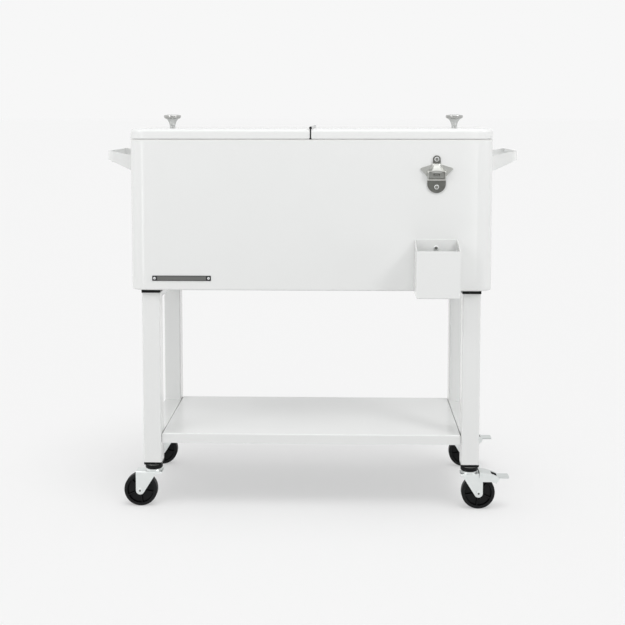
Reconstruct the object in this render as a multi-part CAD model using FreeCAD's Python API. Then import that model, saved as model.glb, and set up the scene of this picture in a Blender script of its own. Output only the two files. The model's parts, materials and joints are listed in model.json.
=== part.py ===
import FreeCAD
import Part
import math
import os

# Rolling patio cooler: an insulated chest with two lids hinged at its centre, on
# a four-legged frame with a shelf and four swivel casters, two of them braked.
# Millimetres. X runs along the chest, Y from front to back, Z up from the floor.
# The origin is under the middle of the whole cart, on the floor.

# Heights, from the floor up
wheel_diameter = 75.0
caster_height = 98.4
foot_flange = 5.5
leg_length = 385.5
top_pad_height = 8.0
chest_height = 333.0
lid_gap = 1.0
lid_height = 22.0
hinge_rise = 2.0

# Chest and tub
chest_length = 800.0
chest_depth = 380.0
chest_corner = 36.0
shell_wall = 1.2
shell_fold = 3.0
shell_lip = 14.0
pan_sheet = 1.2
pan_clearance = 2.0
foam_clearance = 0.3
rim_width = 28.0
rim_thickness = 3.0
rim_inset = 0.5
rim_round = 1.0
tub_wall = 2.5
tub_draft = 8.0
tub_corner = 32.0
tub_floor_round = 18.0
floor_build = 32.0

# Centre bar of the tub
bar_width = 50.0
bar_sheet = 1.5
bar_flange = 14.0
bar_end_clearance = 1.5
bar_tab_width = 30.0
bar_tab_length = 16.0
bar_seat_clearance = 0.2
bar_screw_radius = 1.5
bar_screw_head_radius = 2.8
bar_screw_length = 7.0
bar_tab_screw_offset = 9.0

# Centre hinge
hinge_pin_radius = 1.5
hinge_running_fit = 0.05
knuckle_radius = 2.75
knuckle_count = 19
knuckle_gap = 0.4
knuckle_clearance = 0.25
web_thickness = 2.6
leaf_thickness = 1.2
leaf_gap = 0.2
leaf_end_inset = 0.4
foot_half_width = 11.5
foot_thickness = 1.4
foot_end_clearance = 2.0
foot_flare_half_width = 3.3
foot_flare_clearance = 0.2
hinge_cap_thickness = 1.5
hinge_screw_count = 5
hinge_screw_offset = 7.5

# Lids
lid_overhang = 0.3
lid_sheet = 1.5
lid_top_round = 8.5
lid_liner_sheet = 2.5
lid_plug_drop = 12.0
lid_plug_wall = 2.0
lid_plug_side_clearance = 6.0
lid_plug_bar_clearance = 6.0
lid_plug_corner = 22.0
lid_plug_round = 5.0
hinge_rebate_height = 1.2
hinge_rebate_clearance = 1.5

# Lid knobs
knob_end_setback = 70.0
knob_height = 31.0
knob_cap_radius = 20.0
knob_cap_height = 9.5
knob_cap_edge = 2.5
knob_cap_under_run = 3.5
knob_cap_under_rise = 4.5
knob_base_radius = 6.6
knob_flare_shares = [(0.23, 0.0), (0.47, 0.11), (0.70, 0.32), (0.88, 0.60)]
knob_stud_radius = 2.5
knob_stud_fit = 0.1
knob_stud_length = 12.0
knob_nut_radius = 7.0
knob_nut_height = 6.0

# Handles
handle_reach = 62.0
handle_span = 220.0
handle_sheet = 3.0
handle_bend = 13.0
handle_grip_height = 21.0
handle_grip_top_drop = 27.5
handle_root_height = 36.0
handle_root_top_drop = 38.5
handle_flange = 26.0
handle_screw_radius = 2.5
handle_screw_head_radius = 4.5
handle_screw_head_height = 2.6
handle_screw_length = 9.0
handle_screw_spread = 18.0
screw_hole_clearance = 0.2

# Bottle opener
opener_end_setback = 125.3
opener_plate = 3.0
opener_ear_drop = 43.0
opener_ear_radius = 8.2
opener_shoulder_drop = 54.0
opener_wing_half_width = 36.0
opener_wing_drop = 64.5
opener_wing_round = 3.0
opener_waist_drop = 81.0
opener_half_width = 20.0
opener_round_drop = 96.5
opener_hood_reach = 21.0
opener_hood_top_half_width = 8.8
opener_hood_top_drop = 52.5
opener_hood_half_width = 22.1
opener_hood_lip_drop = 71.5
opener_hood_arch = 4.2
opener_hood_wall = 2.4
opener_hood_sections_shares = [(0.0, 0.0, 0.0), (0.4, 0.16, 0.22), (0.75, 0.52, 0.58), (1.0, 1.0, 1.0)]
opener_cheek_reach = 14.0
opener_tooth_half_width = 7.5
opener_tooth_drop = 77.0
opener_tooth_reach = 7.5
opener_ridge_drop = 89.2
opener_ridge_height = 4.4
opener_ridge_slope = 2.0
opener_ridge_reach = 6.0
opener_screw_drop = 103.5
opener_screw_radius = 2.2
opener_screw_head_radius = 4.2
opener_screw_head_height = 2.2
opener_screw_length = 13.0

# Cap catcher
catcher_end_setback = 125.3
catcher_width = 93.5
catcher_depth = 70.0
catcher_sheet = 1.2
catcher_drop = 6.0
catcher_front_height = 102.0
catcher_back_height = 121.0
catcher_gap = 0.3
catcher_fold = 2.0
catcher_screw_height = 102.0
catcher_screw_radius = 2.5
catcher_screw_head_radius = 5.0
catcher_screw_head_height = 2.4
catcher_screw_length = 12.0
catcher_lift = 12.0
keyhole_clearance = 0.4
keyhole_foot_radius = 6.5

# Name plate, left blank
plate_end_setback = 115.3
plate_length = 130.0
plate_height = 11.6
plate_sheet = 1.2
plate_corner = 1.5
plate_rise = 26.8
plate_rivet_spread = 119.6
plate_rivet_radius = 1.6
plate_rivet_head_radius = 2.2
plate_rivet_head_height = 1.0
plate_rivet_length = 5.0

# Drain in the tub floor
drain_end_setback = 200.0
drain_back_setback = 130.0
drain_bore_radius = 7.0
drain_tube_radius = 10.0
drain_flange_radius = 17.0
drain_flange_height = 2.5
drain_tube_drop = 20.0
drain_hole_clearance = 0.3
drain_nut_radius = 16.0
drain_nut_height = 7.0
drain_cap_radius = 14.0
drain_cap_wall = 3.0
drain_cap_skirt = 8.0
drain_cap_fit = 0.3
drain_grip_count = 12
drain_grip_radius = 1.6

# Frame
frame_end_inset = 24.0
frame_side_inset = 15.0
leg_size = 40.0
leg_wall = 1.5
leg_corner = 3.0
plug_fit = 0.3
top_pad_overhang = 1.0
top_plug_length = 15.0
foot_plug_length = 40.0
rail_height = 22.0
rail_wall = 1.5
rail_corner = 2.0
frame_bolt_radius = 3.0
frame_bolt_head_radius = 5.5
frame_bolt_head_height = 4.0
frame_bolt_length = 9.0
frame_bolt_inset = 30.0
frame_nut_height = 5.0

# Shelf
shelf_rise = 169.4
shelf_sheet = 1.2
shelf_lip = 22.0
shelf_fold = 3.0
shelf_gap = 0.8
shelf_front_setback = 5.6
shelf_rear_setback = 4.0
shelf_bolt_radius = 2.5
shelf_bolt_head_radius = 4.5
shelf_bolt_head_height = 2.5
shelf_bolt_inset = 40.0
shelf_nut_height = 4.0

# Casters
stem_radius = 5.0
stem_fit = 0.1
stem_rise = 32.0
stem_rivet_radius = 8.0
stem_rivet_height = 3.0
swivel_cap_radius = 19.5
swivel_cap_height = 12.0
swivel_cap_round = 3.5
swivel_gap = 0.3
raceway_radius = 18.0
raceway_height = 4.7
fork_sheet = 2.5
fork_inner_width = 27.0
fork_bend = 3.5
fork_back_reach = 20.0
fork_foot_radius = 9.5
fork_throat_run = 34.5
fork_throat_drop = 7.0
fork_tail_drop = 2.5
fork_nose_reach = 36.0
fork_nose_drop = 17.0
fork_nose_round = 4.0
plain_trail = 30.0
braked_trail = 20.0
wheel_width = 24.0
wheel_edge_round = 5.0
wheel_rim_radius = 29.5
wheel_hub_radius = 11.0
wheel_recess = 5.0
wheel_rib_count = 5
wheel_rib_start_angle = 114.5
wheel_rib_width = 2.6
wheel_rib_sink = 1.2
hub_gap = 0.3
axle_radius = 3.0
axle_fit = 0.05
axle_head_radius = 5.5
axle_head_height = 3.0

# Brake levers
lever_sheet = 2.0
lever_gap = 0.3
lever_pivot_reach = 30.0
lever_pivot_rise = 76.8
lever_pivot_radius = 2.0
lever_pivot_fit = 0.05
lever_pivot_head_radius = 3.6
lever_pivot_head_height = 1.2
lever_back_reach = 21.5
lever_back_rise = 86.0
lever_knee_reach = 44.0
lever_knee_rise = 82.4
lever_end_reach = 64.0
lever_end_rise = 74.6
lever_tip_reach = 66.3
lever_tip_rise = 71.3
lever_toe_reach = 59.0
lever_toe_rise = 61.0
lever_belly_end = 49.0
lever_belly_start = 27.0
lever_belly_rise = 64.5
lever_heel_rise = 73.0
lever_slot_start = 49.0
lever_slot_length = 12.5
lever_slot_width = 18.0
shoe_reach = 44.5
shoe_foot_rise = 70.0
pedal_reach = 88.4
pedal_width = 28.0
pedal_sheet = 3.0
pedal_corner = 3.0

# One overrun for all cuts
overrun = 5.0

# Places worked out from the sizes above
axle_z = wheel_diameter / 2
leg_bottom = caster_height + foot_flange
leg_top = leg_bottom + leg_length
chest_bottom = leg_top + top_pad_height
rim_top = chest_bottom + chest_height
shell_top = rim_top - rim_thickness
lid_bottom = rim_top + lid_gap
lid_top = lid_bottom + lid_height
hinge_z = lid_top + hinge_rise
half_length = chest_length / 2
half_depth = chest_depth / 2
front_face = -half_depth
frame_length = chest_length - 2 * frame_end_inset
frame_depth = chest_depth - 2 * frame_side_inset
opener_x = half_length - opener_end_setback
catcher_x = half_length - catcher_end_setback
plate_x = plate_end_setback - half_length
drain_x = drain_end_setback - half_length
drain_y = half_depth - drain_back_setback
opening_length = chest_length - 2 * rim_width
opening_depth = chest_depth - 2 * rim_width
tub_floor = chest_bottom + floor_build
pan_bottom = chest_bottom + shell_wall
pan_top = pan_bottom + pan_sheet
bar_top = rim_top
foot_top = rim_top + foot_thickness
leaf_inner = web_thickness / 2 + leaf_gap
lid_inner = leaf_inner + leaf_thickness
hinge_length = chest_depth
foot_reach = half_depth + lid_overhang - lid_sheet - foot_end_clearance
knuckle_pitch = hinge_length / knuckle_count
knuckle_floor = hinge_z - knuckle_radius - knuckle_clearance
leg_x = (frame_length - leg_size) / 2
leg_y = (frame_depth - leg_size) / 2
rail_inner_x = leg_x - leg_size / 2
rail_half_run = leg_y - leg_size / 2
shelf_half_length = rail_inner_x - shelf_gap
shelf_front = -frame_depth / 2 + shelf_front_setback
shelf_back = frame_depth / 2 - shelf_rear_setback
cap_bottom = caster_height - swivel_cap_height
fork_top = cap_bottom - swivel_gap - raceway_height
fork_under = fork_top - fork_sheet
fork_half = fork_inner_width / 2 + fork_sheet
lever_inner = fork_half + lever_gap
lever_half = lever_inner + lever_sheet
front_reach = half_depth + catcher_gap + catcher_depth
back_reach = half_depth + max(lid_overhang, hinge_cap_thickness)
centre_shift = FreeCAD.Vector(0, (front_reach - back_reach) / 2, 0)

leg_places = {
    "front_left": (-leg_x, -leg_y),
    "front_right": (leg_x, -leg_y),
    "rear_left": (-leg_x, leg_y),
    "rear_right": (leg_x, leg_y),
}

up = FreeCAD.Vector(0, 0, 1)
along_x = FreeCAD.Vector(1, 0, 0)
along_y = FreeCAD.Vector(0, 1, 0)


# Basic shapes

def block(x0, x1, y0, y1, z0, z1):
    low = FreeCAD.Vector(min(x0, x1), min(y0, y1), min(z0, z1))
    return Part.makeBox(abs(x1 - x0), abs(y1 - y0), abs(z1 - z0), low)


def rod(radius, start, end):
    a = FreeCAD.Vector(*start)
    b = FreeCAD.Vector(*end)
    return Part.makeCylinder(radius, (b - a).Length, a, b - a)


def fuse_all(shapes):
    whole = shapes[0].multiFuse(shapes[1:]) if len(shapes) > 1 else shapes[0]
    return whole.removeSplitter()


def plan_wire(length, depth, corner, z):
    hx = length / 2
    hy = depth / 2
    c = corner
    d = c * (1 - math.sqrt(2) / 2)
    line = Part.LineSegment
    v = FreeCAD.Vector
    sides = [
        line(v(-hx + c, -hy, z), v(hx - c, -hy, z)),
        Part.Arc(v(hx - c, -hy, z), v(hx - d, -hy + d, z), v(hx, -hy + c, z)),
        line(v(hx, -hy + c, z), v(hx, hy - c, z)),
        Part.Arc(v(hx, hy - c, z), v(hx - d, hy - d, z), v(hx - c, hy, z)),
        line(v(hx - c, hy, z), v(-hx + c, hy, z)),
        Part.Arc(v(-hx + c, hy, z), v(-hx + d, hy - d, z), v(-hx, hy - c, z)),
        line(v(-hx, hy - c, z), v(-hx, -hy + c, z)),
        Part.Arc(v(-hx, -hy + c, z), v(-hx + d, -hy + d, z), v(-hx + c, -hy, z)),
    ]
    return Part.Wire([side.toShape() for side in sides])


def level_edges(shape, z, tolerance=0.001):
    box_edges = []
    for edge in shape.Edges:
        bounds = edge.BoundBox
        if abs(bounds.ZMin - z) < tolerance and abs(bounds.ZMax - z) < tolerance:
            box_edges.append(edge)
    return box_edges


def upright_edges(shape, x, y, tolerance=0.001):
    found = []
    for edge in shape.Edges:
        bounds = edge.BoundBox
        straight = bounds.XLength < tolerance and bounds.YLength < tolerance
        if straight and abs(bounds.XMin - x) < tolerance and abs(bounds.YMin - y) < tolerance:
            found.append(edge)
    return found


def plan_block(length, depth, corner, z0, z1, bottom_round=0, top_round=0):
    face = Part.Face(plan_wire(length, depth, corner, z0))
    solid = face.extrude(FreeCAD.Vector(0, 0, z1 - z0))
    if bottom_round > 0:
        solid = solid.makeFillet(bottom_round, level_edges(solid, z0))
    if top_round > 0:
        solid = solid.makeFillet(top_round, level_edges(solid, z1))
    return solid


def side_outline(points, y0, y1):
    corners = [FreeCAD.Vector(x, y0, z) for x, z in points]
    face = Part.Face(Part.makePolygon(corners + corners[:1]))
    return face.extrude(FreeCAD.Vector(0, y1 - y0, 0))


def end_outline(points, x0, x1):
    corners = [FreeCAD.Vector(x0, y, z) for y, z in points]
    face = Part.Face(Part.makePolygon(corners + corners[:1]))
    return face.extrude(FreeCAD.Vector(x1 - x0, 0, 0))


def save(name, shape):
    placed = shape.copy()
    placed.translate(centre_shift)
    placed.exportStep("parts/" + name + ".step")
    print(name, len(placed.Solids), placed.isValid(), round(placed.Volume))


def save_group(name, shapes):
    save(name, Part.makeCompound(shapes))


# Chest

def frame_bolt_places():
    reach = rail_half_run - frame_bolt_inset
    return [(sx * leg_x, sy * reach) for sx in (-1, 1) for sy in (-1, 1)]


def handle_screw_places(side):
    mid_z = rim_top - handle_root_top_drop - handle_root_height / 2
    reach = handle_span / 2 - handle_sheet - handle_flange / 2
    half = handle_screw_spread / 2
    return [(sy * reach, mid_z + sz * half) for sy in (-1, 1) for sz in (-1, 1)]


def opener_screw_heights():
    return [rim_top - opener_ear_drop, rim_top - opener_screw_drop]


def catcher_screw_z():
    return chest_bottom - catcher_drop + catcher_screw_height


def plate_rivet_places():
    z = chest_bottom + plate_rise
    return [(plate_x + s * plate_rivet_spread / 2, z) for s in (-1, 1)]


def wall_holes(clearance):
    # Holes for everything that is screwed or riveted through the shell's walls
    holes = []
    depth = handle_screw_length + overrun
    for side in (-1, 1):
        for y, z in handle_screw_places(side):
            start = (side * (half_length + overrun), y, z)
            end = (side * (half_length - depth), y, z)
            holes.append(rod(handle_screw_radius + clearance, start, end))
    for z in opener_screw_heights():
        start = (opener_x, front_face - overrun, z)
        end = (opener_x, front_face + opener_screw_length, z)
        holes.append(rod(opener_screw_radius + clearance, start, end))
    z = catcher_screw_z()
    start = (catcher_x, front_face - overrun, z)
    end = (catcher_x, front_face + catcher_screw_length, z)
    holes.append(rod(catcher_screw_radius + clearance, start, end))
    for x, z in plate_rivet_places():
        start = (x, front_face - overrun, z)
        end = (x, front_face + plate_rivet_length + overrun, z)
        holes.append(rod(plate_rivet_radius + clearance, start, end))
    return holes


def floor_holes(clearance, height):
    holes = []
    for x, y in frame_bolt_places():
        radius = frame_bolt_radius + clearance
        holes.append(rod(radius, (x, y, chest_bottom - overrun), (x, y, height)))
    return holes


def make_outer_shell():
    inner_round = max(shell_fold - shell_wall, shell_wall / 2)
    outer = plan_block(chest_length, chest_depth, chest_corner, chest_bottom, shell_top, shell_fold)
    inner = plan_block(
        chest_length - 2 * shell_wall,
        chest_depth - 2 * shell_wall,
        chest_corner - shell_wall,
        chest_bottom + shell_wall,
        shell_top + overrun,
        inner_round,
    )
    mouth = plan_block(
        chest_length - 2 * shell_lip,
        chest_depth - 2 * shell_lip,
        chest_corner - shell_lip / 2,
        chest_bottom - overrun,
        chest_bottom + 2 * overrun,
    )
    shell = outer.cut(inner).cut(mouth)
    return shell.cut(Part.makeCompound(wall_holes(screw_hole_clearance)))


def make_bottom_pan():
    inset = shell_wall + pan_clearance
    pan = plan_block(
        chest_length - 2 * inset,
        chest_depth - 2 * inset,
        chest_corner - inset,
        pan_bottom,
        pan_top,
    )
    drain = rod(
        drain_tube_radius + drain_hole_clearance,
        (drain_x, drain_y, pan_bottom - overrun),
        (drain_x, drain_y, pan_top + overrun),
    )
    return pan.cut(Part.makeCompound(floor_holes(screw_hole_clearance, pan_top + overrun) + [drain]))


def tub_block(offset, z0, z1, bottom_round):
    # The tub's drafted form, grown outwards by the offset
    wires = []
    for z in (z0, z1):
        inset = tub_draft * (rim_top - z) / (rim_top - tub_floor) - offset
        corner = tub_corner - inset / 2
        wires.append(plan_wire(opening_length - 2 * inset, opening_depth - 2 * inset, corner, z))
    solid = Part.makeLoft(wires, True, True)
    return solid.makeFillet(bottom_round, level_edges(solid, z0))


def bar_seat(clearance, height):
    half = bar_tab_width / 2 + clearance
    reach = opening_depth / 2 + bar_tab_length + clearance
    return block(-half, half, -reach, reach, bar_top - bar_sheet, height)


def bar_screw_places():
    reach = opening_depth / 2 + bar_tab_length / 2
    return [(sx * bar_tab_screw_offset, sy * reach) for sx in (-1, 1) for sy in (-1, 1)]


def hinge_screw_places():
    run = opening_depth - 2 * rim_width
    step = run / (hinge_screw_count - 1)
    ys = [-run / 2 + step * i for i in range(hinge_screw_count)]
    return [((-1) ** i * hinge_screw_offset, y) for i, y in enumerate(ys)]


def make_tub_liner():
    flange = plan_block(
        chest_length - 2 * rim_inset,
        chest_depth - 2 * rim_inset,
        chest_corner - rim_inset,
        shell_top,
        rim_top,
        0,
        rim_round,
    )
    basin = tub_block(tub_wall, tub_floor - tub_wall, rim_top - rim_thickness / 2, tub_floor_round + tub_wall)
    hollow = tub_block(0, tub_floor, rim_top + overrun, tub_floor_round)
    liner = flange.fuse(basin).cut(hollow).cut(bar_seat(bar_seat_clearance, rim_top + overrun))
    cuts = [rod(
        drain_tube_radius + drain_hole_clearance,
        (drain_x, drain_y, tub_floor - tub_wall - overrun),
        (drain_x, drain_y, tub_floor + overrun),
    )]
    for x, y in bar_screw_places():
        cuts.append(rod(bar_screw_radius, (x, y, shell_top - overrun), (x, y, rim_top)))
    return liner.cut(Part.makeCompound(cuts))


def make_foam():
    inset = shell_wall + foam_clearance
    foam = plan_block(
        chest_length - 2 * inset,
        chest_depth - 2 * inset,
        chest_corner - inset,
        pan_top,
        shell_top,
    )
    offset = tub_wall + foam_clearance
    basin = tub_block(offset, tub_floor - offset, shell_top + overrun, tub_floor_round + offset)
    foam = foam.cut(basin)
    cuts = wall_holes(screw_hole_clearance)
    nut_room = chest_bottom + frame_bolt_length + overrun
    for x, y in frame_bolt_places():
        cuts.append(rod(frame_bolt_head_radius + screw_hole_clearance, (x, y, pan_bottom), (x, y, nut_room)))
    for x, y in bar_screw_places():
        low = bar_top - bar_screw_length - overrun
        cuts.append(rod(bar_screw_radius + screw_hole_clearance, (x, y, low), (x, y, rim_top)))
    cuts.append(rod(
        drain_tube_radius + drain_hole_clearance,
        (drain_x, drain_y, pan_bottom),
        (drain_x, drain_y, tub_floor),
    ))
    return foam.cut(Part.makeCompound(cuts))


def make_centre_bar():
    reach = opening_depth / 2 - bar_end_clearance
    half = bar_width / 2
    plate = block(-half, half, -reach, reach, bar_top - bar_sheet, bar_top)
    tabs = bar_seat(0, bar_top)
    parts = [plate, tabs]
    for side in (-1, 1):
        outer = side * half
        parts.append(block(outer, outer - side * bar_sheet, -reach, reach, bar_top - bar_flange, bar_top))
    bar = fuse_all(parts)
    cuts = []
    for x, y in bar_screw_places():
        cuts.append(rod(bar_screw_head_radius, (x, y, bar_top - bar_sheet), (x, y, bar_top + overrun)))
    for x, y in hinge_screw_places():
        cuts.append(rod(bar_screw_radius, (x, y, bar_top - 2 * bar_sheet), (x, y, bar_top + overrun)))
    return bar.cut(Part.makeCompound(cuts))


def make_bar_screws():
    screws = []
    for x, y in bar_screw_places():
        low = bar_top - bar_screw_length
        shank = rod(bar_screw_radius, (x, y, low), (x, y, bar_top))
        head = rod(bar_screw_head_radius, (x, y, bar_top - bar_sheet), (x, y, bar_top))
        screws.append(shank.fuse(head))
    for x, y in hinge_screw_places():
        low = foot_top - bar_screw_length
        shank = rod(bar_screw_radius, (x, y, low), (x, y, foot_top))
        head = rod(bar_screw_head_radius, (x, y, rim_top), (x, y, foot_top))
        screws.append(shank.fuse(head))
    return screws


# Centre hinge

def knuckle_segments(which):
    # Segments run centre, left, right and so on, and both ends are the centre leaf's
    pattern = ("centre", "left", "right")
    spans = []
    for i in range(knuckle_count):
        if pattern[i % len(pattern)] == which:
            y0 = -hinge_length / 2 + knuckle_pitch * i
            spans.append((y0 + knuckle_gap / 2, y0 + knuckle_pitch - knuckle_gap / 2))
    return spans


def pin_bore():
    reach = hinge_length / 2 + overrun
    return rod(hinge_pin_radius + hinge_running_fit, (0, -reach, hinge_z), (0, reach, hinge_z))


def make_centre_leaf():
    reach = hinge_length / 2 - knuckle_gap / 2
    half = web_thickness / 2
    flare = foot_flare_half_width
    parts = [
        block(-foot_half_width, foot_half_width, -foot_reach, foot_reach, rim_top, foot_top),
        block(-flare, flare, -reach, reach, rim_top, lid_bottom - foot_flare_clearance),
        block(-half, half, -reach, reach, rim_top, knuckle_floor),
    ]
    for y0, y1 in knuckle_segments("centre"):
        parts.append(block(-half, half, y0, y1, knuckle_floor - half, hinge_z))
        parts.append(rod(knuckle_radius, (0, y0, hinge_z), (0, y1, hinge_z)))
    leaf = fuse_all(parts).cut(pin_bore())
    cuts = []
    for x, y in hinge_screw_places():
        cuts.append(rod(bar_screw_head_radius, (x, y, rim_top - overrun), (x, y, foot_top + overrun)))
    return leaf.cut(Part.makeCompound(cuts))


def make_lid_leaf(side, name):
    reach = hinge_length / 2 - leaf_end_inset
    near = side * leaf_inner
    far = side * lid_inner
    parts = [block(near, far, -reach, reach, lid_bottom + hinge_rebate_height, knuckle_floor)]
    for y0, y1 in knuckle_segments(name):
        parts.append(block(near, far, y0, y1, knuckle_floor - leaf_thickness, hinge_z))
        parts.append(rod(knuckle_radius, (0, y0, hinge_z), (0, y1, hinge_z)))
    return fuse_all(parts).cut(pin_bore())


def make_hinge_pin():
    reach = hinge_length / 2
    return rod(hinge_pin_radius, (0, -reach, hinge_z), (0, reach, hinge_z))


def make_hinge_caps():
    caps = []
    for side in (-1, 1):
        start = side * hinge_length / 2
        end = start + side * hinge_cap_thickness
        caps.append(rod(knuckle_radius, (0, start, hinge_z), (0, end, hinge_z)))
    return caps


# Lids

def lid_half(side, inner_x):
    reach = half_length + lid_overhang + overrun
    deep = half_depth + lid_overhang + overrun
    return block(side * inner_x, side * reach, -deep, deep, rim_top - chest_height / 2, lid_top + overrun)


def lid_cavity(side):
    block_round = max(lid_top_round - lid_sheet, lid_sheet)
    cavity = plan_block(
        chest_length + 2 * lid_overhang - 2 * lid_sheet,
        chest_depth + 2 * lid_overhang - 2 * lid_sheet,
        chest_corner + lid_overhang - lid_sheet,
        lid_bottom - overrun,
        lid_top - lid_sheet,
        0,
        block_round,
    )
    return cavity.common(lid_half(side, lid_inner + lid_sheet))


def hinge_rebate():
    # Room for the hinge's foot, stopped behind the lid's front and back walls
    half = foot_half_width + hinge_rebate_clearance
    deep = foot_reach + foot_end_clearance / 2
    return block(-half, half, -deep, deep, lid_bottom - overrun, lid_bottom + hinge_rebate_height)


def knob_x(side):
    return side * (half_length - knob_end_setback)


def make_lid_shell(side):
    outer = plan_block(
        chest_length + 2 * lid_overhang,
        chest_depth + 2 * lid_overhang,
        chest_corner + lid_overhang,
        lid_bottom,
        lid_top,
        0,
        lid_top_round,
    )
    shell = outer.common(lid_half(side, lid_inner)).cut(lid_cavity(side)).cut(hinge_rebate())
    x = knob_x(side)
    under = lid_top - lid_sheet
    nut = rod(knob_nut_radius, (x, 0, under - knob_nut_height), (x, 0, under))
    hole = rod(knob_stud_radius + knob_stud_fit, (x, 0, under - 2 * overrun), (x, 0, lid_top + overrun))
    return shell.fuse(nut).removeSplitter().cut(hole)


def lid_plug(side, inset, z0, z1, round_radius):
    inner = bar_width / 2 + lid_plug_bar_clearance + inset
    outer = opening_length / 2 - lid_plug_side_clearance - inset
    deep = opening_depth / 2 - lid_plug_side_clearance - inset
    plug = plan_block(outer - inner, 2 * deep, lid_plug_corner - inset, z0, z1, round_radius)
    plug.translate(FreeCAD.Vector(side * (outer + inner) / 2, 0, 0))
    return plug


def make_lid_liner(side):
    plate = plan_block(
        chest_length + 2 * lid_overhang - 2 * lid_sheet,
        chest_depth + 2 * lid_overhang - 2 * lid_sheet,
        chest_corner + lid_overhang - lid_sheet,
        lid_bottom,
        lid_bottom + lid_liner_sheet,
    )
    plate = plate.common(lid_half(side, lid_inner + lid_sheet)).cut(hinge_rebate())
    plug_bottom = lid_bottom - lid_plug_drop
    plate_mid = lid_bottom + lid_liner_sheet / 2
    plug = lid_plug(side, 0, plug_bottom, plate_mid, lid_plug_round)
    pocket = lid_plug(
        side,
        lid_plug_wall,
        plug_bottom + lid_plug_wall,
        lid_bottom + lid_liner_sheet + overrun,
        lid_plug_round - lid_plug_wall,
    )
    return plate.fuse(plug).cut(pocket)


def make_lid_foam(side):
    upper = lid_cavity(side)
    floor = lid_bottom + lid_liner_sheet
    upper = upper.cut(lid_half_below(side, floor))
    lower = lid_plug(
        side,
        lid_plug_wall,
        lid_bottom - lid_plug_drop + lid_plug_wall,
        floor + overrun,
        lid_plug_round - lid_plug_wall,
    )
    x = knob_x(side)
    room = rod(
        knob_nut_radius + screw_hole_clearance,
        (x, 0, lid_top - knob_stud_length - lid_sheet),
        (x, 0, lid_top),
    )
    return upper.fuse(lower).removeSplitter().cut(room)


def lid_half_below(side, z):
    reach = half_length + lid_overhang + overrun
    deep = half_depth + lid_overhang + overrun
    return block(0, side * reach, -deep, deep, rim_top - chest_height / 2, z)


def make_knob(side):
    # A trumpet-shaped stem that flares into a wide flat cap
    v = FreeCAD.Vector
    rim_low = knob_height - knob_cap_height
    under = knob_cap_radius - knob_cap_under_run
    edge = knob_cap_edge
    nib = knob_cap_radius - edge
    e = edge * (1 - math.sqrt(2) / 2)
    top_edge = knob_height - edge / 2
    flare = [v(knob_base_radius, 0, 0)]
    for height_share, width_share in knob_flare_shares:
        radius = knob_base_radius + (under - knob_base_radius) * width_share
        flare.append(v(radius, 0, rim_low * height_share))
    flare.append(v(under, 0, rim_low))
    stem = Part.BSplineCurve()
    stem.interpolate(flare)
    side_low = rim_low + knob_cap_under_rise
    under_mid = v(under + knob_cap_under_run * 3 / 4, 0, rim_low + knob_cap_under_rise * 2 / 5)
    sides = [
        Part.LineSegment(v(0, 0, -knob_stud_length), v(knob_stud_radius, 0, -knob_stud_length)),
        Part.LineSegment(v(knob_stud_radius, 0, -knob_stud_length), v(knob_stud_radius, 0, 0)),
        Part.LineSegment(v(knob_stud_radius, 0, 0), v(knob_base_radius, 0, 0)),
        stem,
        Part.Arc(v(under, 0, rim_low), under_mid, v(knob_cap_radius, 0, side_low)),
        Part.LineSegment(v(knob_cap_radius, 0, side_low), v(knob_cap_radius, 0, top_edge - edge)),
        Part.Arc(v(knob_cap_radius, 0, top_edge - edge), v(knob_cap_radius - e, 0, top_edge - e), v(nib, 0, top_edge)),
        Part.LineSegment(v(nib, 0, top_edge), v(nib / 2, 0, knob_height)),
        Part.LineSegment(v(nib / 2, 0, knob_height), v(0, 0, knob_height)),
        Part.LineSegment(v(0, 0, knob_height), v(0, 0, -knob_stud_length)),
    ]
    face = Part.Face(Part.Wire([s.toShape() for s in sides]))
    knob = face.revolve(v(0, 0, 0), up, 360)
    knob.translate(v(knob_x(side), 0, lid_top))
    return knob


# Handles

def make_handle(side):
    outer_x = half_length + handle_reach
    outer = handle_span / 2
    bend = handle_bend
    inner_bend = bend - handle_sheet
    root_top = rim_top - handle_root_top_drop
    root_low = root_top - handle_root_height
    grip_top = rim_top - handle_grip_top_drop
    grip_low = grip_top - handle_grip_height
    # The bent strip in plan, then its height cut to the tapered side view
    strip = block(half_length, outer_x, -outer, outer, root_low, grip_top)
    corners = upright_edges(strip, outer_x, -outer) + upright_edges(strip, outer_x, outer)
    strip = strip.makeFillet(bend, corners)
    room_x = outer_x - handle_sheet
    room_y = outer - handle_sheet
    room = block(half_length - overrun, room_x, -room_y, room_y, root_low - overrun, grip_top + overrun)
    corners = upright_edges(room, room_x, -room_y) + upright_edges(room, room_x, room_y)
    room = room.makeFillet(inner_bend, corners)
    parts = [strip.cut(room)]
    for s in (-1, 1):
        tab = block(
            half_length,
            half_length + handle_sheet,
            s * room_y,
            s * (room_y - handle_flange),
            root_low,
            grip_top,
        )
        parts.append(tab)
    handle = fuse_all(parts)
    flange_x = half_length + handle_sheet
    view = side_outline(
        [
            (half_length, root_low),
            (flange_x, root_low),
            (outer_x - handle_sheet, grip_low),
            (outer_x, grip_low),
            (outer_x, grip_top),
            (outer_x - handle_sheet, grip_top),
            (flange_x, root_top),
            (half_length, root_top),
        ],
        -outer - overrun,
        outer + overrun,
    )
    handle = handle.common(view)
    if side < 0:
        handle = handle.mirror(FreeCAD.Vector(0, 0, 0), along_x)
    holes = []
    for y, z in handle_screw_places(side):
        start = (side * (half_length - overrun), y, z)
        end = (side * (half_length + handle_sheet + overrun), y, z)
        holes.append(rod(handle_screw_radius + screw_hole_clearance, start, end))
    return handle.cut(Part.makeCompound(holes))


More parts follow.
